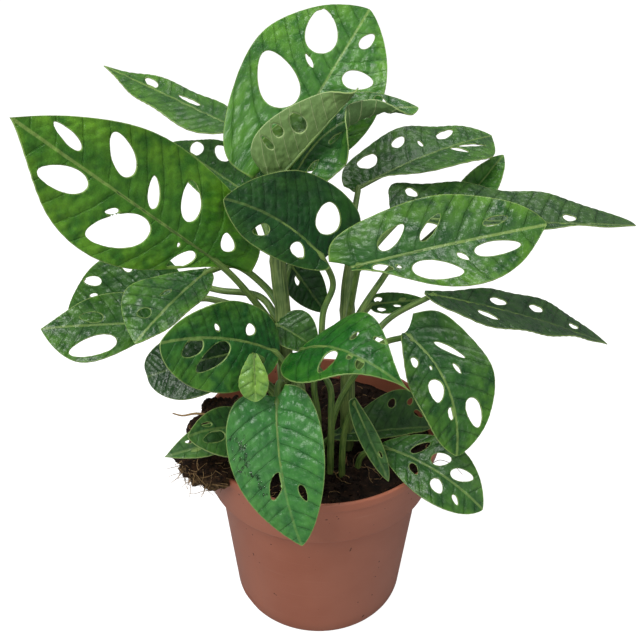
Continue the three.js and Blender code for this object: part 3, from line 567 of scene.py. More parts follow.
def stalk_material(name, dark, pale, roughness):
    """Green stalk or stem, streaked along its length."""
    material, tree, shader = new_material(name, {"Roughness": roughness, "Coat Weight": 0.1,
                                                 "Coat Roughness": 0.35})
    group = add_node(tree, "ShaderNodeGroup", {"node_tree": streaks},
                     {"Dark": colour(dark), "Pale": colour(pale)})
    tree.links.new(group.outputs["Color"], shader.inputs["Base Color"])
    embossed(tree, shader, group.outputs["Height"], 0.5, 0.3 * mm)
    return material


stem_green = stalk_material("stem", "41602a", "8ba15c", 0.5)
for node, radius, points in stems:
    line = along_line(points, 1.6)
    radii = []
    for i in range(len(line)):
        ring = math.exp(-((i % ring_every - ring_every // 2) / ring_breadth) ** 2)
        radii.append(radius * (1 - stem_taper * i / len(line)) + ring_height * ring - 0.15)
    shape = bmesh.new()
    add_rod(shape, line, radii, stem_sides)
    new_piece(node + "_rod", shape, [node], [stem_green])


# ------------------------------------------------------------------ leaves
# Each leaf is a thin blade with a stalk that runs on under it as the midrib. The blade is pulled in
# along its side veins, swells between them, has egg-shaped holes between them too, and its thin
# margin is paler. The numbers of a row are the same as its solid's, in millimetres and degrees.
blade_thickness = 0.55
base_width, blade_neck, lobe_place, vein_slant = 0.002, 1.6, 0.1, 0.15
flat_from, roll_from, wave_shift = (0.75, 0.97), (0.35, 0.6), 0.35
rib_clear, hole_margin = 1.3, 0.88
hole_taper = 0.22  # how much narrower a hole is at its outer end than at its inner end
vein_lean, vein_curve = 0.45, 0.012
cell, end_closeness = 0.65, 0.09
puff_height, quilt_height, vein_depth, rib_depth = 0.25, 0.45, 0.28, 0.4
vein_breadth, rib_breadth = 0.11, 0.9
stalk_base_radius, stalk_radius, rib_end_radius, stalk_sides = 1.7, 1.3, 0.25, 14
rib_radius = stalk_radius * 0.75
rib_start, rib_reach = 0.04, 0.9
backlit_green, line_green, margin_green = "76b02a", "b4cf72", "b9d37c"
under_green, under_line_green = "8aa765", "b3c98c"
light_wash, deep_wash, puff_highlight_wash = (0.8, 0.85, 0.62, 1.0), (0.4, 0.55, 0.42, 1.0), (1.45, 1.3, 1.2, 1.0)
vein_shade_wash, under_mottle_and_shade_wash = (0.55, 0.65, 0.6, 1.0), (0.72, 0.8, 0.7, 1.0)

# A pair is (left, right). A hole or slit is (along, across, length, width, turn).
usual_form = dict(belly=(0.35, 0.35), point=(0.8, 0.8), lobe=(0, 0), fold=(5, 5), curl=(0, 0),
                  roll=(0, 0), arch=0, swing=0, wave=0, waves=2, holes=[], slits=[])
# Each row's colour code is the leaf's green with painted shade in it: a leaf that sits in shade is given a
# darker green. Its glow is how much painted backlight the leaf gets.
leaves = [
    # the crown
    dict(name="leaf_left_large", tint_and_painted_light="5d9f38", glow=1.0, base=(-41, -25, 200), tip=(-95, -75, 272),
         faces=(0.3, -0.8, 0.5), half=(23.5, 27), belly=(0.53, 0.35), point=(1.25, 1), lobe=(0, 0.2),
         fold=(0, 5), wave=1.2,
         holes=[(0.81, 0.46, 12.5, 4.2, 80), (0.61, 0.52, 17, 8.5, 60), (0.435, 0.28, 12.5, 5, 35),
                (0.285, 0.48, 17, 7.5, 38), (0.083, 0.46, 10, 3.6, 52), (0.755, -0.38, 19, 8.4, 73),
                (0.477, -0.47, 27, 12, 58), (0.18, -0.64, 14, 5.5, 45)],
         slits=[(0.545, -0.28, 5.8, 2.1, 55), (0.233, -0.22, 2, 1.5, 0)],
         stalk=[(-17, -12, 158), (-28, -17, 178), (-37, -23, 194)]),
    dict(name="leaf_top", tint_and_painted_light="559544", glow=0.6, base=(-18, 26, 232), tip=(20, 51, 289),
         faces=(0, -0.85, 0.4), half=(34.5, 26.5), belly=(0.38, 0.4), lobe=(0.3, 0.1),
         wave=1.5,
         holes=[(0.71, -0.5, 19, 14, 60), (0.34, -0.52, 26, 14, 32), (0.82, 0.42, 8.5, 5, 75),
                (0.58, 0.48, 14, 8, 20)],
         slits=[(0.53, -0.33, 7, 2, 30)],
         stalk=[(-18, -6, 202), (-21, 12, 216)]),
    dict(name="leaf_top_furled", tint_and_painted_light="6f9350", glow=0.2, base=(-21, -5, 228), tip=(14, 5, 265),
         faces=(-0.75, 0.1, 0.6), half=(15, 18), belly=(0.22, 0.22), fold=(45, 55), curl=(50, 40),
         holes=[(0.46, 0.58, 9, 6, 10), (0.3, 0.74, 6, 4, 10), (0.18, 0.7, 7, 2.6, 5)],
         stalk=[(-19, -6, 204), (-20, -6, 218)]),
    dict(name="leaf_top_folded", tint_and_painted_light="356f38", glow=0.4, base=(-15, -3, 222), tip=(40, 15, 255),
         faces=(-0.2, -0.7, 0.6), half=(12, 17), belly=(0.5, 0.42), fold=(10, 10), roll=(0, 150),
         swing=-14, wave=0.8,
         holes=[(0.22, 0.38, 8, 2.6, 85), (0.82, -0.45, 6, 4, 15)],
         slits=[(0.45, 0.3, 7, 2.6, 80)],
         stalk=[(-18, -7, 198), (-15, -3, 211)]),
    dict(name="leaf_upper_right", tint_and_painted_light="3f7034", glow=0.35, base=(14, 30, 213), tip=(86, 75, 227),
         faces=(0, -0.35, 0.94), half=(20.5, 18), belly=(0.4, 0.7), point=(0.7, 1.15), lobe=(0.04, 0),
         arch=4, wave=1.5,
         holes=[(0.186, -0.6, 11.5, 7.8, 60), (0.4, -0.64, 9, 5, 65), (0.705, -0.55, 12.5, 5.2, 75),
                (0.79, 0.24, 15, 2.6, 70), (0.685, 0.27, 9.5, 3.4, 32)],
         slits=[(0.513, -0.39, 4.6, 2.3, 10)],
         stalk=[(13, 0, 186), (14, 16, 202)]),
    dict(name="leaf_small_right_tip", tint_and_painted_light="4b853e", glow=0.4, base=(68, 54, 194), tip=(91, 66, 220),
         faces=(0, -0.8, 0.5), half=(8, 10), fold=(30, 30),
         holes=[(0.42, 0.35, 4.5, 3, 25)],
         stalk=[(12, -6, 152), (17, -2, 164), (28, 14, 174), (33, 22, 177), (51, 36, 186)]),
    dict(name="leaf_upper_left", tint_and_painted_light="4a7a3c", glow=0.45, base=(-39, 42, 238), tip=(-105, 67, 261),
         faces=(0, -0.3, 0.95), half=(15, 9.5), belly=(0.3, 0.35), point=(1.1, 1.1), wave=1.2,
         holes=[(0.66, 0.4, 8, 4, 75), (0.38, 0.3, 12, 2.6, 90)],
         stalk=[(-19, -9, 188), (-27, 16, 208), (-34, 33, 227)]),
    dict(name="leaf_back_left", tint_and_painted_light="3d7034", glow=0.3, base=(-31, 35, 206), tip=(-77, 75, 222),
         faces=(0, -0.6, 0.8), half=(14, 17), wave=1,
         holes=[(0.77, 0.45, 10, 7, 60), (0.53, 0.62, 12, 7, 80)],
         stalk=[(-18, -11, 178), (-24, 14, 194)]),
    dict(name="leaf_far_right", tint_and_painted_light="3f6639", glow=0.2, base=(31, 15, 206), tip=(154, 40, 193),
         faces=(0, -0.1, 1), half=(25, 3), belly=(0.2, 0.4), point=(0.45, 0.8), fold=(15, -20), wave=1.2,
         waves=3,
         holes=[(0.09, -0.72, 7, 6, 0), (0.72, -0.2, 7, 4.5, 88)],
         stalk=[(13, -1, 182), (24, 6, 196)]),
    dict(name="leaf_right_large", tint_and_painted_light="3a6e38", glow=0.7, base=(11, -45, 209), tip=(81, -50, 229),
         faces=(0, -0.8, 0.6), half=(17.8, 16.5), belly=(0.4, 0.6), point=(0.7, 1.1), lobe=(0.14, 0),
         arch=3, wave=1.5,
         holes=[(0.24, -0.41, 13, 5, 56), (0.43, -0.405, 12, 3.8, 47), (0.75, -0.38, 9, 3, 85),
                (0.16, 0.6, 8, 2.8, 70), (0.42, 0.58, 19, 6.8, 72), (0.733, 0.33, 16.5, 5.5, 88)],
         slits=[(0.56, 0.33, 5, 1.8, 48), (0.24, 0.49, 2.4, 1, 50)],
         stalk=[(12, -7, 162), (13, -26, 188)]),
    dict(name="leaf_middle_dark", tint_and_painted_light="1f5429", glow=0.15, base=(1, -18, 200), tip=(-38, -29, 230),
         faces=(0, -0.8, 0.6), half=(14, 24), belly=(0.5, 0.25), lobe=(0.1, 0.25), swing=4,
         wave=1,
         holes=[(0.17, 0.52, 13.5, 7.5, 25), (0.26, -0.45, 7, 5.5, 60), (0.6, -0.5, 7, 4.5, 50)],
         stalk=[(-1, -17, root_end), (-1, -17, 118), (-3, -17, 136), (0, -17, 156), (1, -16, 174),
                (5, -14, 186)]),
    dict(name="leaf_middle_back", tint_and_painted_light="245a27", glow=0.1, base=(-15, 5, 188), tip=(2, 5, 162),
         faces=(0, -0.8, 0.6), half=(8, 8), slits=[(0.3, 0.2, 5, 2.5, 60)],
         stalk=[(-17, -12, 168), (-16, -2, 183)]),
    # the right side
    dict(name="leaf_small_right", tint_and_painted_light="356830", glow=0.3, base=(23, 15, 161), tip=(51, 25, 159),
         faces=(0, -0.6, 0.8), half=(4.3, 5), holes=[(0.17, -0.4, 4.5, 2.6, 80)],
         slits=[(0.17, 0.6, 4.5, 2.2, 85), (0.6, -0.2, 4, 1.6, 80), (0.47, 0.4, 4, 1.6, 80)],
         stalk=[(13, -8, 140), (17, 5, 156)]),
    dict(name="leaf_right_low", tint_and_painted_light="3a5f3a", glow=0.1, base=(49, 12, 169), tip=(149, 30, 131),
         faces=(0, -0.2, 0.97), half=(16, 16), belly=(0.57, 0.28), point=(1, 1.4), arch=3,
         wave=0.8, waves=3,
         holes=[(0.37, -0.38, 10, 5, 80), (0.58, -0.48, 8.5, 5, 80), (0.795, -0.33, 6.5, 3.5, 80),
                (0.275, 0.49, 11, 4, 70)],
         stalk=[(13, -8, 132), (30, 3, 158)]),
    dict(name="leaf_right_drooping", tint_and_painted_light="2f6430", glow=0.45, base=(36, -25, 169), tip=(56, -62, 132),
         faces=(0.3, -0.7, 0.6), half=(21.5, 16), belly=(0.35, 0.5), point=(0.6, 0.9), lobe=(0.17, 0),
         arch=5, swing=-6, wave=1,
         holes=[(0.243, -0.45, 13, 2.8, 55), (0.73, -0.52, 12.5, 6.5, 80), (0.7, 0.14, 5, 3.5, 80),
                (0.5, 0.34, 10, 7, 70), (0.24, 0.6, 5, 3, 60)],
         slits=[(0.39, -0.34, 5.2, 1.8, 82), (0.08, 0.12, 1.8, 1.2, 0), (0.33, 0.19, 2, 1.2, 60)],
         stalk=[(6, -20, root_end), (6, -20, 118), (14, -17, 138), (26, -18, 158)]),
    # the left side
    dict(name="leaf_left_hanging", tint_and_painted_light="356d34", glow=0.6, base=(-48, -15, 193), tip=(-75, -45, 174),
         faces=(0, -0.6, 0.8), half=(8, 17), belly=(0.4, 0.6), point=(0.8, 1), arch=3, wave=1,
         holes=[(0.72, 0.34, 5.5, 4, 45)], slits=[(0.45, 0.3, 5, 1.6, 70)],
         stalk=[(-18, -10, 172), (-25, -5, 180), (-38, -8, 192)]),
    dict(name="leaf_left_far", tint_and_painted_light="37682d", glow=0.4, base=(-71, 0, 158), tip=(-125, -15, 163),
         faces=(0, -0.7, 0.7), half=(17, 14), belly=(0.6, 0.35), point=(1, 1.1), arch=3,
         wave=1.2, holes=[(0.6, 0.3, 10, 4.5, 85), (0.58, -0.58, 21, 9, 77)],
         stalk=[(-17, -12, 150), (-27, -9, 166), (-47, -5, 173), (-56, -4, 173)]),
    dict(name="leaf_left_behind", tint_and_painted_light="37692f", glow=0.35, base=(-66, 20, 168), tip=(-123, 15, 155),
         faces=(0, -0.85, 0.5), half=(15, 22), arch=3, wave=1.2,
         holes=[(0.69, 0.7, 9, 4.5, 75), (0.38, 0.62, 5, 4, 60)], slits=[(0.73, 0.32, 4, 2, 80)],
         stalk=[(-17, -12, 160), (-27, -2, 173), (-46, 1, 175), (-59, 10, 173)]),
    dict(name="leaf_left_shaded", tint_and_painted_light="295028", glow=0.05, base=(-38, -5, 146), tip=(-80, -15, 138),
         faces=(0, -0.7, 0.7), half=(16, 14), belly=(0.5, 0.5), point=(0.6, 0.35), arch=3,
         wave=1, stalk=[(-15, -12, 106), (-26, -10, 132)]),
    dict(name="leaf_left_glossy", tint_and_painted_light="2a6e37", glow=0.55, base=(-18, -30, 161), tip=(-60, -64, 186),
         faces=(0, -0.8, 0.5), half=(21, 15), belly=(0.5, 0.35), point=(0.65, 0.8), swing=4,
         wave=1,
         holes=[(0.75, -0.21, 10.5, 7, 60), (0.57, -0.36, 19, 7.5, 54), (0.28, 0.35, 5, 5, 30),
                (0.2, -0.46, 7, 6, 20)],
         slits=[(0.57, 0.3, 4, 2, 45)],
         stalk=[(-9, -27, 136), (-13, -28, 150)]),
    # the front
    dict(name="leaf_inner", tint_and_painted_light="3b6a2c", glow=0.1, base=(-20, -17, 168), tip=(-2, -22, 158),
         faces=(0, -0.6, 0.8), half=(10, 7.5), fold=(15, 15), arch=2,
         stalk=[(-16, -12, 140), (-20, -18, 156)]),
    dict(name="leaf_front_arching", tint_and_painted_light="26722a", glow=0.3, base=(-9, -35, 165), tip=(34, -68, 168),
         faces=(0, -0.5, 0.86), half=(17.5, 18.5), belly=(0.45, 0.27), point=(1.8, 2), lobe=(0, 0.08),
         arch=13, wave=0.8,
         holes=[(0.43, 0.42, 12, 5.5, 5), (0.66, 0.33, 6, 2.8, 20)],
         slits=[(0.57, 0.14, 3.5, 1.8, 0), (0.5, -0.42, 4.8, 1.7, 20), (0.675, -0.8, 6, 2, 80)],
         stalk=[(5, -26, root_end), (5, -26, 127), (4, -28, 143), (-4, -32, 158)]),
    dict(name="leaf_front_drooping", tint_and_painted_light="4c9350", glow=0.15, base=(-18, -48, 151), tip=(-7, -80, 99),
         faces=(0, -0.85, 0.4), half=(18, 20), belly=(0.35, 0.25), point=(0.8, 0.9), lobe=(0.1, 0.1),
         fold=(10, 10), arch=3, swing=3, wave=0.5, holes=[(0.57, 0.2, 11.5, 5, 65), (0.63, -0.48, 7, 3, 80)],
         stalk=[(-16, -12, 122), (-17, -28, 144), (-18, -40, 151)]),
    dict(name="leaf_young", tint_and_painted_light="93bd62", glow=0.3, base=(-27, -48, 172), tip=(-26, -56, 154),
         faces=(0, -0.85, 0.4), half=(5, 6), belly=(0.6, 0.6), fold=(30, 30), curl=(-50, -50),
         stalk=[(-8, -27, 126), (-24, -29, 145), (-32, -35, 157), (-27, -40, 162), (-24, -45, 167)]),
    # low, by the soil
    dict(name="leaf_low_left", tint_and_painted_light="4a7745", glow=0.2, base=(-33, -40, 124), tip=(-66, -55, 124),
         faces=(0, -0.7, 0.7), half=(4.5, 8), belly=(0.5, 0.45), point=(1.2, 1.2), fold=(15, 15), arch=3,
         slits=[(0.68, 0.5, 3.4, 1.3, 80), (0.62, -0.15, 5, 1.7, 80)],
         stalk=[(-16, -30, root_end), (-18, -32, 104), (-25, -36, 118)]),
    dict(name="leaf_low_left_small", tint_and_painted_light="42703f", glow=0.2, base=(-30, -44, 131), tip=(-54, -60, 139),
         faces=(0, -0.7, 0.7), half=(12, 8), swing=2,
         holes=[(0.6, -0.32, 10.5, 4.8, 85)], slits=[(0.68, 0.37, 5, 1.7, 80)],
         stalk=[(-12, -36, root_end), (-14, -38, 108), (-22, -42, 124)]),
    dict(name="leaf_low_right", tint_and_painted_light="3c6e38", glow=0.35, base=(28, -29, 110), tip=(72, -56, 97),
         faces=(0, -0.7, 0.7), half=(14, 13), belly=(0.5, 0.55), arch=6, swing=-3, wave=0.8,
         holes=[(0.3, -0.45, 9.5, 3.5, 37), (0.5, -0.38, 9, 5.5, 58), (0.71, -0.4, 10.5, 5, 65),
                (0.35, 0.34, 6, 3, 58), (0.58, 0.41, 7, 5, 60)],
         slits=[(0.76, 0.5, 4.5, 2.2, 60)],
         stalk=[(18, -22, root_end), (20, -24, 100)]),
    dict(name="leaf_low_right_inner", tint_and_painted_light="355f30", glow=0.15, base=(5, -10, 101), tip=(57, -2, 101),
         faces=(0, -0.7, 0.7), half=(19, 5), belly=(0.65, 0.4), fold=(5, 40), arch=3,
         holes=[(0.57, -0.68, 5, 3.5, 30), (0.84, -0.45, 5.5, 2.8, 125)],
         slits=[(0.75, -0.72, 4, 2.5, 40)],
         stalk=[(2, -8, root_end), (2, -8, 94)]),
    dict(name="leaf_narrow", tint_and_painted_light="406f3c", glow=0.1, base=(14, -32, 139), tip=(31, -45, 103),
         faces=(0, -0.7, 0.7), half=(3.6, 4), belly=(0.6, 0.45), fold=(15, 15),
         slits=[(0.68, -0.4, 3.3, 1.6, 88)],
         stalk=[(11, -28, root_end), (11, -28, 115)]),
]
leaves = [{**usual_form, **row} for row in leaves]


def smooth_step(value, low, high):
    share = min(max((value - low) / (high - low), 0), 1)
    return share * share * (3 - 2 * share)


def width_at(along, belly, point):
    """The width of a half along the blade, as a share of its greatest width."""
    rise = point * (belly + base_width) / (1 - belly)
    return ((along + base_width) / (belly + base_width)) ** rise * ((1 - along) / (1 - belly)) ** point


class Blade:
    """The form of one leaf's blade. along runs from 0 at its base to 1 at its tip, across from -1 at
    the left margin to 1 at the right one, and a flat place is (tipward, outward) in millimetres."""

    def __init__(self, row):
        self.row = row
        self.base = Vector(row["base"])
        reach = Vector(row["tip"]) - self.base
        self.length = reach.length
        self.axis = reach.normalized()
        self.right = self.axis.cross(Vector(row["faces"])).normalized()
        self.up = self.right.cross(self.axis)

    def width(self, side, along):
        along = min(max(along, 0.0), 1.0)
        share = width_at(along, self.row["belly"][side], self.row["point"][side])
        return self.row["half"][side] * share + blade_neck * (1 - along)

    def flat(self, along, across):
        outward = abs(across) * self.width(0 if across < 0 else 1, along)
        return along * self.length + vein_slant * outward, outward

    def unflat(self, tipward, outward, sign):
        along = (tipward - vein_slant * outward) / self.length
        return along, sign * outward / max(self.width(0 if sign < 0 else 1, along), 0.01)

    def point(self, along, across):
        row = self.row
        side = 0 if across < 0 else 1
        share = abs(across)
        width = self.width(side, along)
        folded = 1 - smooth_step(along, *flat_from)
        fold = math.radians(row["fold"][side]) * folded
        rolled = row["roll"][side] * smooth_step(along, *roll_from)
        curl = math.radians(row["curl"][side] + rolled) * folded or 1e-3
        out = width * (math.sin(fold + curl * share) - math.sin(fold)) / curl
        rise = width * (math.cos(fold) - math.cos(fold + curl * share)) / curl
        back = (0.5 + along / lobe_place) * math.exp(0.5 - along / lobe_place)
        lobe = row["lobe"][side] * self.length * back * share ** 1.5
        phase = row["waves"] * along + wave_shift * (1 - side)
        swell = min(1, 1.5 * width_at(along, usual_form["belly"][side], usual_form["point"][side]))
        ripple = row["wave"] * share ** 2 * math.sin(2 * math.pi * phase) * swell
        bow = 4 * along * (1 - along)
        forward = self.length * along + vein_slant * width * share - lobe
        upward = row["arch"] * bow + rise + ripple
        sideways = row["swing"] * bow + math.copysign(out, across)
        return self.base + self.axis * forward + self.up * upward + self.right * sideways


def vein_line(tipward, outward):
    """Where a side vein through this flat place leaves the midrib."""
    return tipward - vein_lean * outward - vein_curve * outward ** 2


def vein_knots(blade, sign):
    """Pairs of (midrib place, vein count) that put every hole midway between two side veins."""
    spacing = min(max(blade.length / 9, 5.5), 10)
    middles = sorted(vein_line(*blade.flat(hole[0], hole[1])) for hole in blade.row["holes"]
                     if hole[1] * sign > 0)
    knots = []
    for middle in middles:
        if not knots:
            knots.append((middle, 0.5 + round(middle / spacing)))
        elif middle - knots[-1][0] > 0.5 * spacing:
            knots.append((middle, knots[-1][1] + max(1, round((middle - knots[-1][0]) / spacing))))
    knots = knots or [(0.0, 0.0)]
    first, last = knots[0], knots[-1]
    return [(first[0] - 20 * spacing, first[1] - 20), *knots, (last[0] + 20 * spacing, last[1] + 20)]


def vein_count(knots, place):
    for (low, count), (high, next_count) in zip(knots, knots[1:]):
        if place <= high:
            return count + (next_count - count) * (place - low) / (high - low)
    return knots[-1][1]


class Hole:
    """An egg-shaped hole in a blade."""

    def __init__(self, blade, along, across, length, width, turn_angle):
        self.sign = 1 if across > 0 else -1
        self.middle = blade.flat(along, across)
        self.half = (length / 2, width / 2)
        self.turn = math.radians(turn_angle)

    def local(self, tipward, outward):
        dx, dy = tipward - self.middle[0], outward - self.middle[1]
        lengthwise = dy * math.cos(self.turn) + dx * math.sin(self.turn)
        crosswise = dx * math.cos(self.turn) - dy * math.sin(self.turn)
        return lengthwise / self.half[0], crosswise / self.half[1]

    def size(self, tipward, outward):
        """1 on the hole's edge, less inside and more outside."""
        lengthwise, crosswise = self.local(tipward, outward)
        return math.hypot(lengthwise, crosswise / (1 - hole_taper * max(min(lengthwise, 1.5), -1.5)))

    def clearance(self, tipward, outward):
        """How many millimetres a place lies outside the hole."""
        size = self.size(tipward, outward)
        reach = math.hypot(tipward - self.middle[0], outward - self.middle[1])
        return reach * (1 - 1 / size) if size > 0.05 else -min(self.half)

    def on_edge(self, tipward, outward):
        """The place on the hole's edge in the same direction from its middle."""
        size = self.size(tipward, outward)
        dx, dy = tipward - self.middle[0], outward - self.middle[1]
        for _ in range(3):
            dx, dy = dx / size, dy / size
            size = self.size(self.middle[0] + dx, self.middle[1] + dy)
        return self.middle[0] + dx, self.middle[1] + dy


def grid_place(vert):
    """A new grid's vertex as (along, across), closer together towards the blade's two ends."""
    u = (vert.co.x + 1) / 2
    return u - end_closeness * math.sin(2 * math.pi * u), vert.co.y


def cut_holes(shape, blade, holes, places):
    """Delete what lies in a hole and bring the loose corners to its edge. places is changed too."""
    doomed = []
    opened = {}
    for face in shape.faces:
        spots = [places[vert] for vert in face.verts]
        across = sum(spot[1] for spot in spots) / len(spots)
        along = sum(spot[0] for spot in spots) / len(spots)
        tipward, outward = blade.flat(along, across)
        for hole in holes:
            near = abs(tipward - hole.middle[0]) + abs(outward - hole.middle[1]) < 2.2 * hole.half[0]
            if near and across * hole.sign > 0 and hole.size(tipward, outward) < 1:
                if outward > rib_clear and abs(across) < hole_margin:
                    doomed.append(face)
                    for vert in face.verts:
                        opened[vert] = hole
    bmesh.ops.delete(shape, geom=doomed, context="FACES")
    for vert, hole in opened.items():
        if vert.is_valid and vert.link_faces:
            tipward, outward = hole.on_edge(*blade.flat(*places[vert]))
            along, across = blade.unflat(tipward, outward, hole.sign)
            if outward > 0.8 * rib_clear and abs(across) < hole_margin + 0.04:
                places[vert] = (along, across)


def make_blade(row, materials):
    """The blade of one leaf: a fine net laid flat, holed, shaped and sunk along its veins."""
    blade = Blade(row)
    columns = max(60, round(blade.length / cell))
    rows = 2 * max(14, round(max(row["half"]) / cell))
    shape = bmesh.new()
    tint_and_light_layer = shape.verts.layers.float_color.new("tint_and_painted_light")
    spot_layer = shape.verts.layers.float_vector.new("spot")
    flesh_uv = shape.loops.layers.uv.new("flesh")
    vein_uv = shape.loops.layers.uv.new("veins")
    bmesh.ops.create_grid(shape, x_segments=columns, y_segments=rows, size=1)
    places = {vert: grid_place(vert) for vert in shape.verts}
    holes = [Hole(blade, *hole) for hole in row["holes"] + row["slits"]]
    cut_holes(shape, blade, holes, places)

    tint_and_painted_light = colour(row["tint_and_painted_light"])
    knots = {sign: vein_knots(blade, sign) for sign in (-1, 1)}
    flats = {}
    edges = {}
    for vert in shape.verts:
        along, across = places[vert]
        tipward, outward = blade.flat(along, across)
        width = blade.width(0 if across < 0 else 1, along)
        edge = min(width * (1 - abs(across)) + 0.02, 1.3 * (1 - along) * blade.length)
        for hole in holes:
            if across * hole.sign > 0:
                edge = min(edge, max(hole.clearance(tipward, outward), 0))
        flats[vert] = (tipward, outward)
        edges[vert] = edge
        # Each vertex carries the leaf's green, with its painted shade, and its share of painted backlight.
        vert[tint_and_light_layer] = (*tint_and_painted_light[:3], row["glow"])
        vert[spot_layer] = (along, across, 0)
        vert.co = blade.point(along, across)
    bmesh.ops.reverse_faces(shape, faces=shape.faces)
    shape.normal_update()
    relief = {}
    for vert in shape.verts:
        along, across = places[vert]
        tipward, outward = flats[vert]
        sign = -1 if across < 0 else 1
        count = vein_count(knots[sign], vein_line(tipward, outward))
        off_vein = abs(count - round(count))
        sink = math.exp(-((off_vein / vein_breadth) ** 2)) * smooth_step(outward, 0.5, 3)
        sink = sink * min(edges[vert] / 3, 1)
        puff = math.sin(math.pi * min(off_vein * 2, 1)) * smooth_step(outward, 0.3, 4)
        spot = Vector((tipward, sign * outward, 3 * len(row["name"])))
        quilt = noise.noise(spot * 0.42) + 0.6 * noise.noise(spot * 0.95)
        rib = math.exp(-((outward / rib_breadth) ** 2)) * (1 - along)
        fade = min(edges[vert] / 2, 1)
        lift = puff_height * puff + quilt_height * quilt * fade - vein_depth * sink - rib_depth * rib
        relief[vert] = lift * min(1, 6 * (1 - along))
    for vert, lift in relief.items():
        vert.co += vert.normal * lift
    for face in shape.faces:
        middle = sum(places[vert][1] for vert in face.verts)
        sign = -1 if middle < 0 else 1
        for loop in face.loops:
            tipward, outward = flats[loop.vert]
            count = vein_count(knots[sign], vein_line(tipward, outward))
            loop[flesh_uv].uv = (tipward, sign * outward)
            loop[vein_uv].uv = (count, edges[loop.vert])
    bmesh.ops.scale(shape, vec=(mm, mm, mm), verts=shape.verts)
    tip_row = [vert for vert in shape.verts if places[vert][0] > 0.9999]
    bmesh.ops.remove_doubles(shape, verts=tip_row, dist=0.01 * mm)
    piece = new_piece(row["name"] + "_blade", shape, [row["name"]], materials)
    thick = piece.modifiers.new("thickness", "SOLIDIFY")
    thick.thickness = blade_thickness * mm
    thick.offset = 0
    thick.material_offset = 1
    thick.material_offset_rim = 2
    return blade


flesh_marks = bpy.data.node_groups.new("leaf veins and quilting", "ShaderNodeTree")
veins = add_node(flesh_marks, "ShaderNodeUVMap", {"uv_map": "veins"}).outputs[0]
flesh = add_node(flesh_marks, "ShaderNodeUVMap", {"uv_map": "flesh"}).outputs[0]
vein_parts = parts_of(flesh_marks, veins)
wobble = times(flesh_marks, noise_in(flesh_marks, flesh, 0.25, 2.0), 0.12)
off_vein = calc(flesh_marks, "PINGPONG", plus(flesh_marks, vein_parts[0], wobble), 0.5)
from_rib = calc(flesh_marks, "ABSOLUTE", parts_of(flesh_marks, flesh)[1])
past_rib = eased(flesh_marks, from_rib, 0.2, 1.2)
vein_mask = times(flesh_marks, eased(flesh_marks, off_vein, 0.05, 0.015), past_rib)
flank_mask = times(flesh_marks, eased(flesh_marks, off_vein, 0.2, 0.06), past_rib)
rib_mask = eased(flesh_marks, from_rib, 0.75, 0.35)
edge_mask = eased(flesh_marks, vein_parts[1], 0.45, 0.12)
drift = add_node(flesh_marks, "ShaderNodeTexNoise", None, {"Vector": flesh, "Scale": 0.35, "Detail": 2.0})
bent = add_node(flesh_marks, "ShaderNodeVectorMath", {"operation": "ADD"},
                {0: flesh, 1: drift.outputs[1]}).outputs[0]
cells = add_node(flesh_marks, "ShaderNodeTexVoronoi", {"feature": "SMOOTH_F1"},
                 {"Vector": bent, "Scale": 0.36, "Smoothness": 0.6}).outputs[0]
quilt = eased(flesh_marks, cells, 0.75, 0.1)
net = add_node(flesh_marks, "ShaderNodeTexVoronoi", {"feature": "DISTANCE_TO_EDGE"},
               {"Vector": bent, "Scale": 0.8}).outputs[0]
net_line = eased(flesh_marks, net, 0.1, 0.0)
blotch = noise_in(flesh_marks, flesh, 0.13, 4.0)
height = calc(flesh_marks, "SUBTRACT", times(flesh_marks, quilt, 0.6), times(flesh_marks, vein_mask, 0.8))
height = calc(flesh_marks, "SUBTRACT", height, times(flesh_marks, net_line, 0.15))
height = plus(flesh_marks, height, times(flesh_marks, edge_mask, 0.3))
results = flesh_marks.nodes.new("NodeGroupOutput")
for name, value in (("Vein", vein_mask), ("Flank", flank_mask), ("Rib", rib_mask), ("Edge", edge_mask),
                    ("Quilt", quilt), ("Blotch", blotch), ("Height", height)):
    flesh_marks.interface.new_socket(name, in_out="OUTPUT", socket_type="NodeSocketFloat")
    flesh_marks.links.new(value, results.inputs[name])


def skin(name, settings):
    """A leaf's skin, with its masks from the veins and quilting and its own green, which holds painted shade
    and, in its alpha, the leaf's share of painted backlight.
    """
    material, tree, shader = new_material(name, settings)
    masks = add_node(tree, "ShaderNodeGroup", {"node_tree": flesh_marks}).outputs
    return material, tree, shader, masks, carried(tree, "tint_and_painted_light")


def washed(tree, plain, wash):
    """A colour multiplied by another."""
    return mixed(tree, 1.0, plain, wash, "MULTIPLY")


upper_skin, tree, shader, masks, tint_and_painted_light = skin("leaf upper side", {
    "Specular IOR Level": 0.38, "Coat Weight": 0.07, "Coat Roughness": 0.2})
spot_parts = parts_of(tree, carried(tree, "spot")["Vector"])
# Painted backlight: the outer parts and the tip of a blade are painted a brighter yellow-green, as if light
# shone through the leaf, scaled by each leaf's glow and made patchy by the blotches. The pale midrib is also
# stronger on leaves with more glow.
outer = eased(tree, calc(tree, "ABSOLUTE", spot_parts[1]), 0.25, 1.0)
tipward = eased(tree, spot_parts[0], 0.05, 0.9)
painted_backlight = plus(tree, times(tree, outer, 0.75), times(tree, tipward, 0.35))
painted_backlight = times(tree, painted_backlight, eased(tree, masks["Blotch"], 0.3, 0.65))
painted_backlight = times(tree, painted_backlight, tint_and_painted_light["Alpha"])
light_green = washed(tree, tint_and_painted_light["Color"], light_wash)
deep_green = washed(tree, tint_and_painted_light["Color"], deep_wash)
green = mixed(tree, eased(tree, masks["Blotch"], 0.35, 0.65), deep_green, light_green)
green = mixed(tree, times(tree, painted_backlight, 0.7), green, backlit_green)
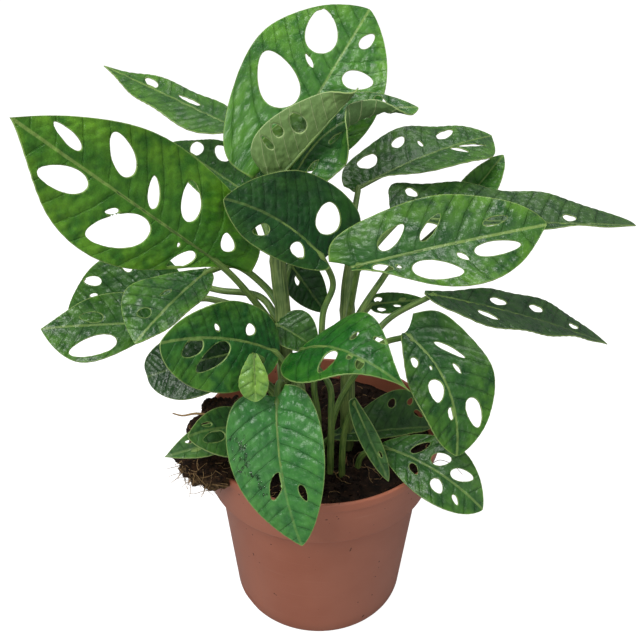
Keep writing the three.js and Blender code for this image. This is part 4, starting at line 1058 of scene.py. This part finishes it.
# Painted highlight and shade: the raised puckers of the bump are painted lighter, and the sunken side veins
# and the flesh beside them are painted darker.
green = mixed(tree, times(tree, masks["Quilt"], 0.4), green, washed(tree, green, puff_highlight_wash))
groove_shade_green = washed(tree, green, vein_shade_wash)
green = mixed(tree, times(tree, masks["Flank"], 0.3), green, groove_shade_green)
green = mixed(tree, times(tree, masks["Vein"], 0.45), green, groove_shade_green)
pale_line = mixed(tree, 0.5, green, line_green)
green = mixed(tree, times(tree, masks["Rib"], plus(tree, tint_and_painted_light["Alpha"], 0.15)), green, pale_line)
green = mixed(tree, times(tree, masks["Edge"], 0.8), green, pale_line)
tree.links.new(green, shader.inputs["Base Color"])
tree.links.new(plus(tree, times(tree, masks["Blotch"], 0.2), 0.2), shader.inputs["Roughness"])
embossed(tree, shader, masks["Height"], 0.8, 0.35 * mm)

under_skin, tree, shader, masks, tint_and_painted_light = skin("leaf underside", {"Specular IOR Level": 0.35})
pale_green = mixed(tree, 0.5, tint_and_painted_light["Color"], under_green)
mottle_and_hollow_shade = washed(tree, pale_green, under_mottle_and_shade_wash)
# The underside is darkened at random by the blotches, and the dents under the puckers get painted shade.
pale_green = mixed(tree, eased(tree, masks["Blotch"], 0.65, 0.3), pale_green, mottle_and_hollow_shade)
pale_green = mixed(tree, times(tree, masks["Quilt"], 0.4), pale_green, mottle_and_hollow_shade)
raised = plus(tree, times(tree, masks["Vein"], 0.6), masks["Edge"])
tree.links.new(mixed(tree, raised, pale_green, under_line_green), shader.inputs["Base Color"])
tree.links.new(plus(tree, times(tree, masks["Blotch"], 0.2), 0.45), shader.inputs["Roughness"])
embossed(tree, shader, masks["Height"], 0.8, 0.35 * mm, inverted=True)

margin_skin, tree, shader = new_material("leaf margin", {"Roughness": 0.4})
margin_colour = mixed(tree, 0.6, carried(tree, "tint_and_painted_light")["Color"], margin_green)
tree.links.new(margin_colour, shader.inputs["Base Color"])

stalk_green = stalk_material("leaf stalk", "3c6529", "86a452", 0.45)


def tapered(start, end, count, first=0):
    """Radii that go evenly from start towards end."""
    return [start + (end - start) * i / count for i in range(first, count + first)]


for row in leaves:
    blade = make_blade(row, [upper_skin, under_skin, margin_skin])
    free = along_line([*row["stalk"], blade.point(rib_start, 0)], 1.8)
    ribbed = []
    rib_steps = max(12, round(blade.length / 2.5))
    for i in range(1, rib_steps + 1):
        along = rib_start + rib_reach * i / rib_steps
        sunk = 0.35 + 0.3 * (1 - along)
        ribbed.append(blade.point(along, 0) - blade.up * sunk)
    radii = tapered(stalk_base_radius, stalk_radius, len(free))
    radii += tapered(rib_radius, rib_end_radius, rib_steps, first=1)
    shape = bmesh.new()
    add_rod(shape, free + ribbed, radii, stalk_sides)
    new_piece(row["name"] + "_stalk", shape, [row["name"]], [stalk_green])


# ------------------------------------------------------------------ water drops
# Drops of water cling to the right half of the drooping leaf in front.
drop_count = 64
water, tree, shader = new_material("water", {"Base Color": white, "Roughness": 0.02,
                                             "Transmission Weight": 1.0, "IOR": 1.33})
wet_blade = Blade(next(row for row in leaves if row["name"] == "leaf_front_drooping"))
drop_shape = bmesh.new()
for _ in range(drop_count):
    if dice.random() < 0.65:
        along, across = dice.uniform(0.2, 0.45), dice.uniform(0.62, 0.93)
    else:
        along, across = dice.uniform(0.46, 0.62), dice.uniform(0.45, 0.62)
    point = wet_blade.point(along, across)
    tipward = (wet_blade.point(along + 0.01, across) - point).normalized()
    outward = (wet_blade.point(along, across + 0.01) - point).normalized()
    normal = outward.cross(tipward).normalized()
    size = dice.uniform(0.3, 0.75)
    axes = Matrix((outward * 0.9, tipward * dice.uniform(1.0, 2.2), normal * 0.5)).transposed().to_4x4()
    place = Matrix.Translation((point + normal * (0.3 + 0.1 * size)) * mm)
    bmesh.ops.create_icosphere(drop_shape, subdivisions=3, radius=size * mm, matrix=place @ axes)
bmesh.ops.recalc_face_normals(drop_shape, faces=drop_shape.faces)
new_piece("water_drops", drop_shape, ["leaf_front_drooping"], [water])
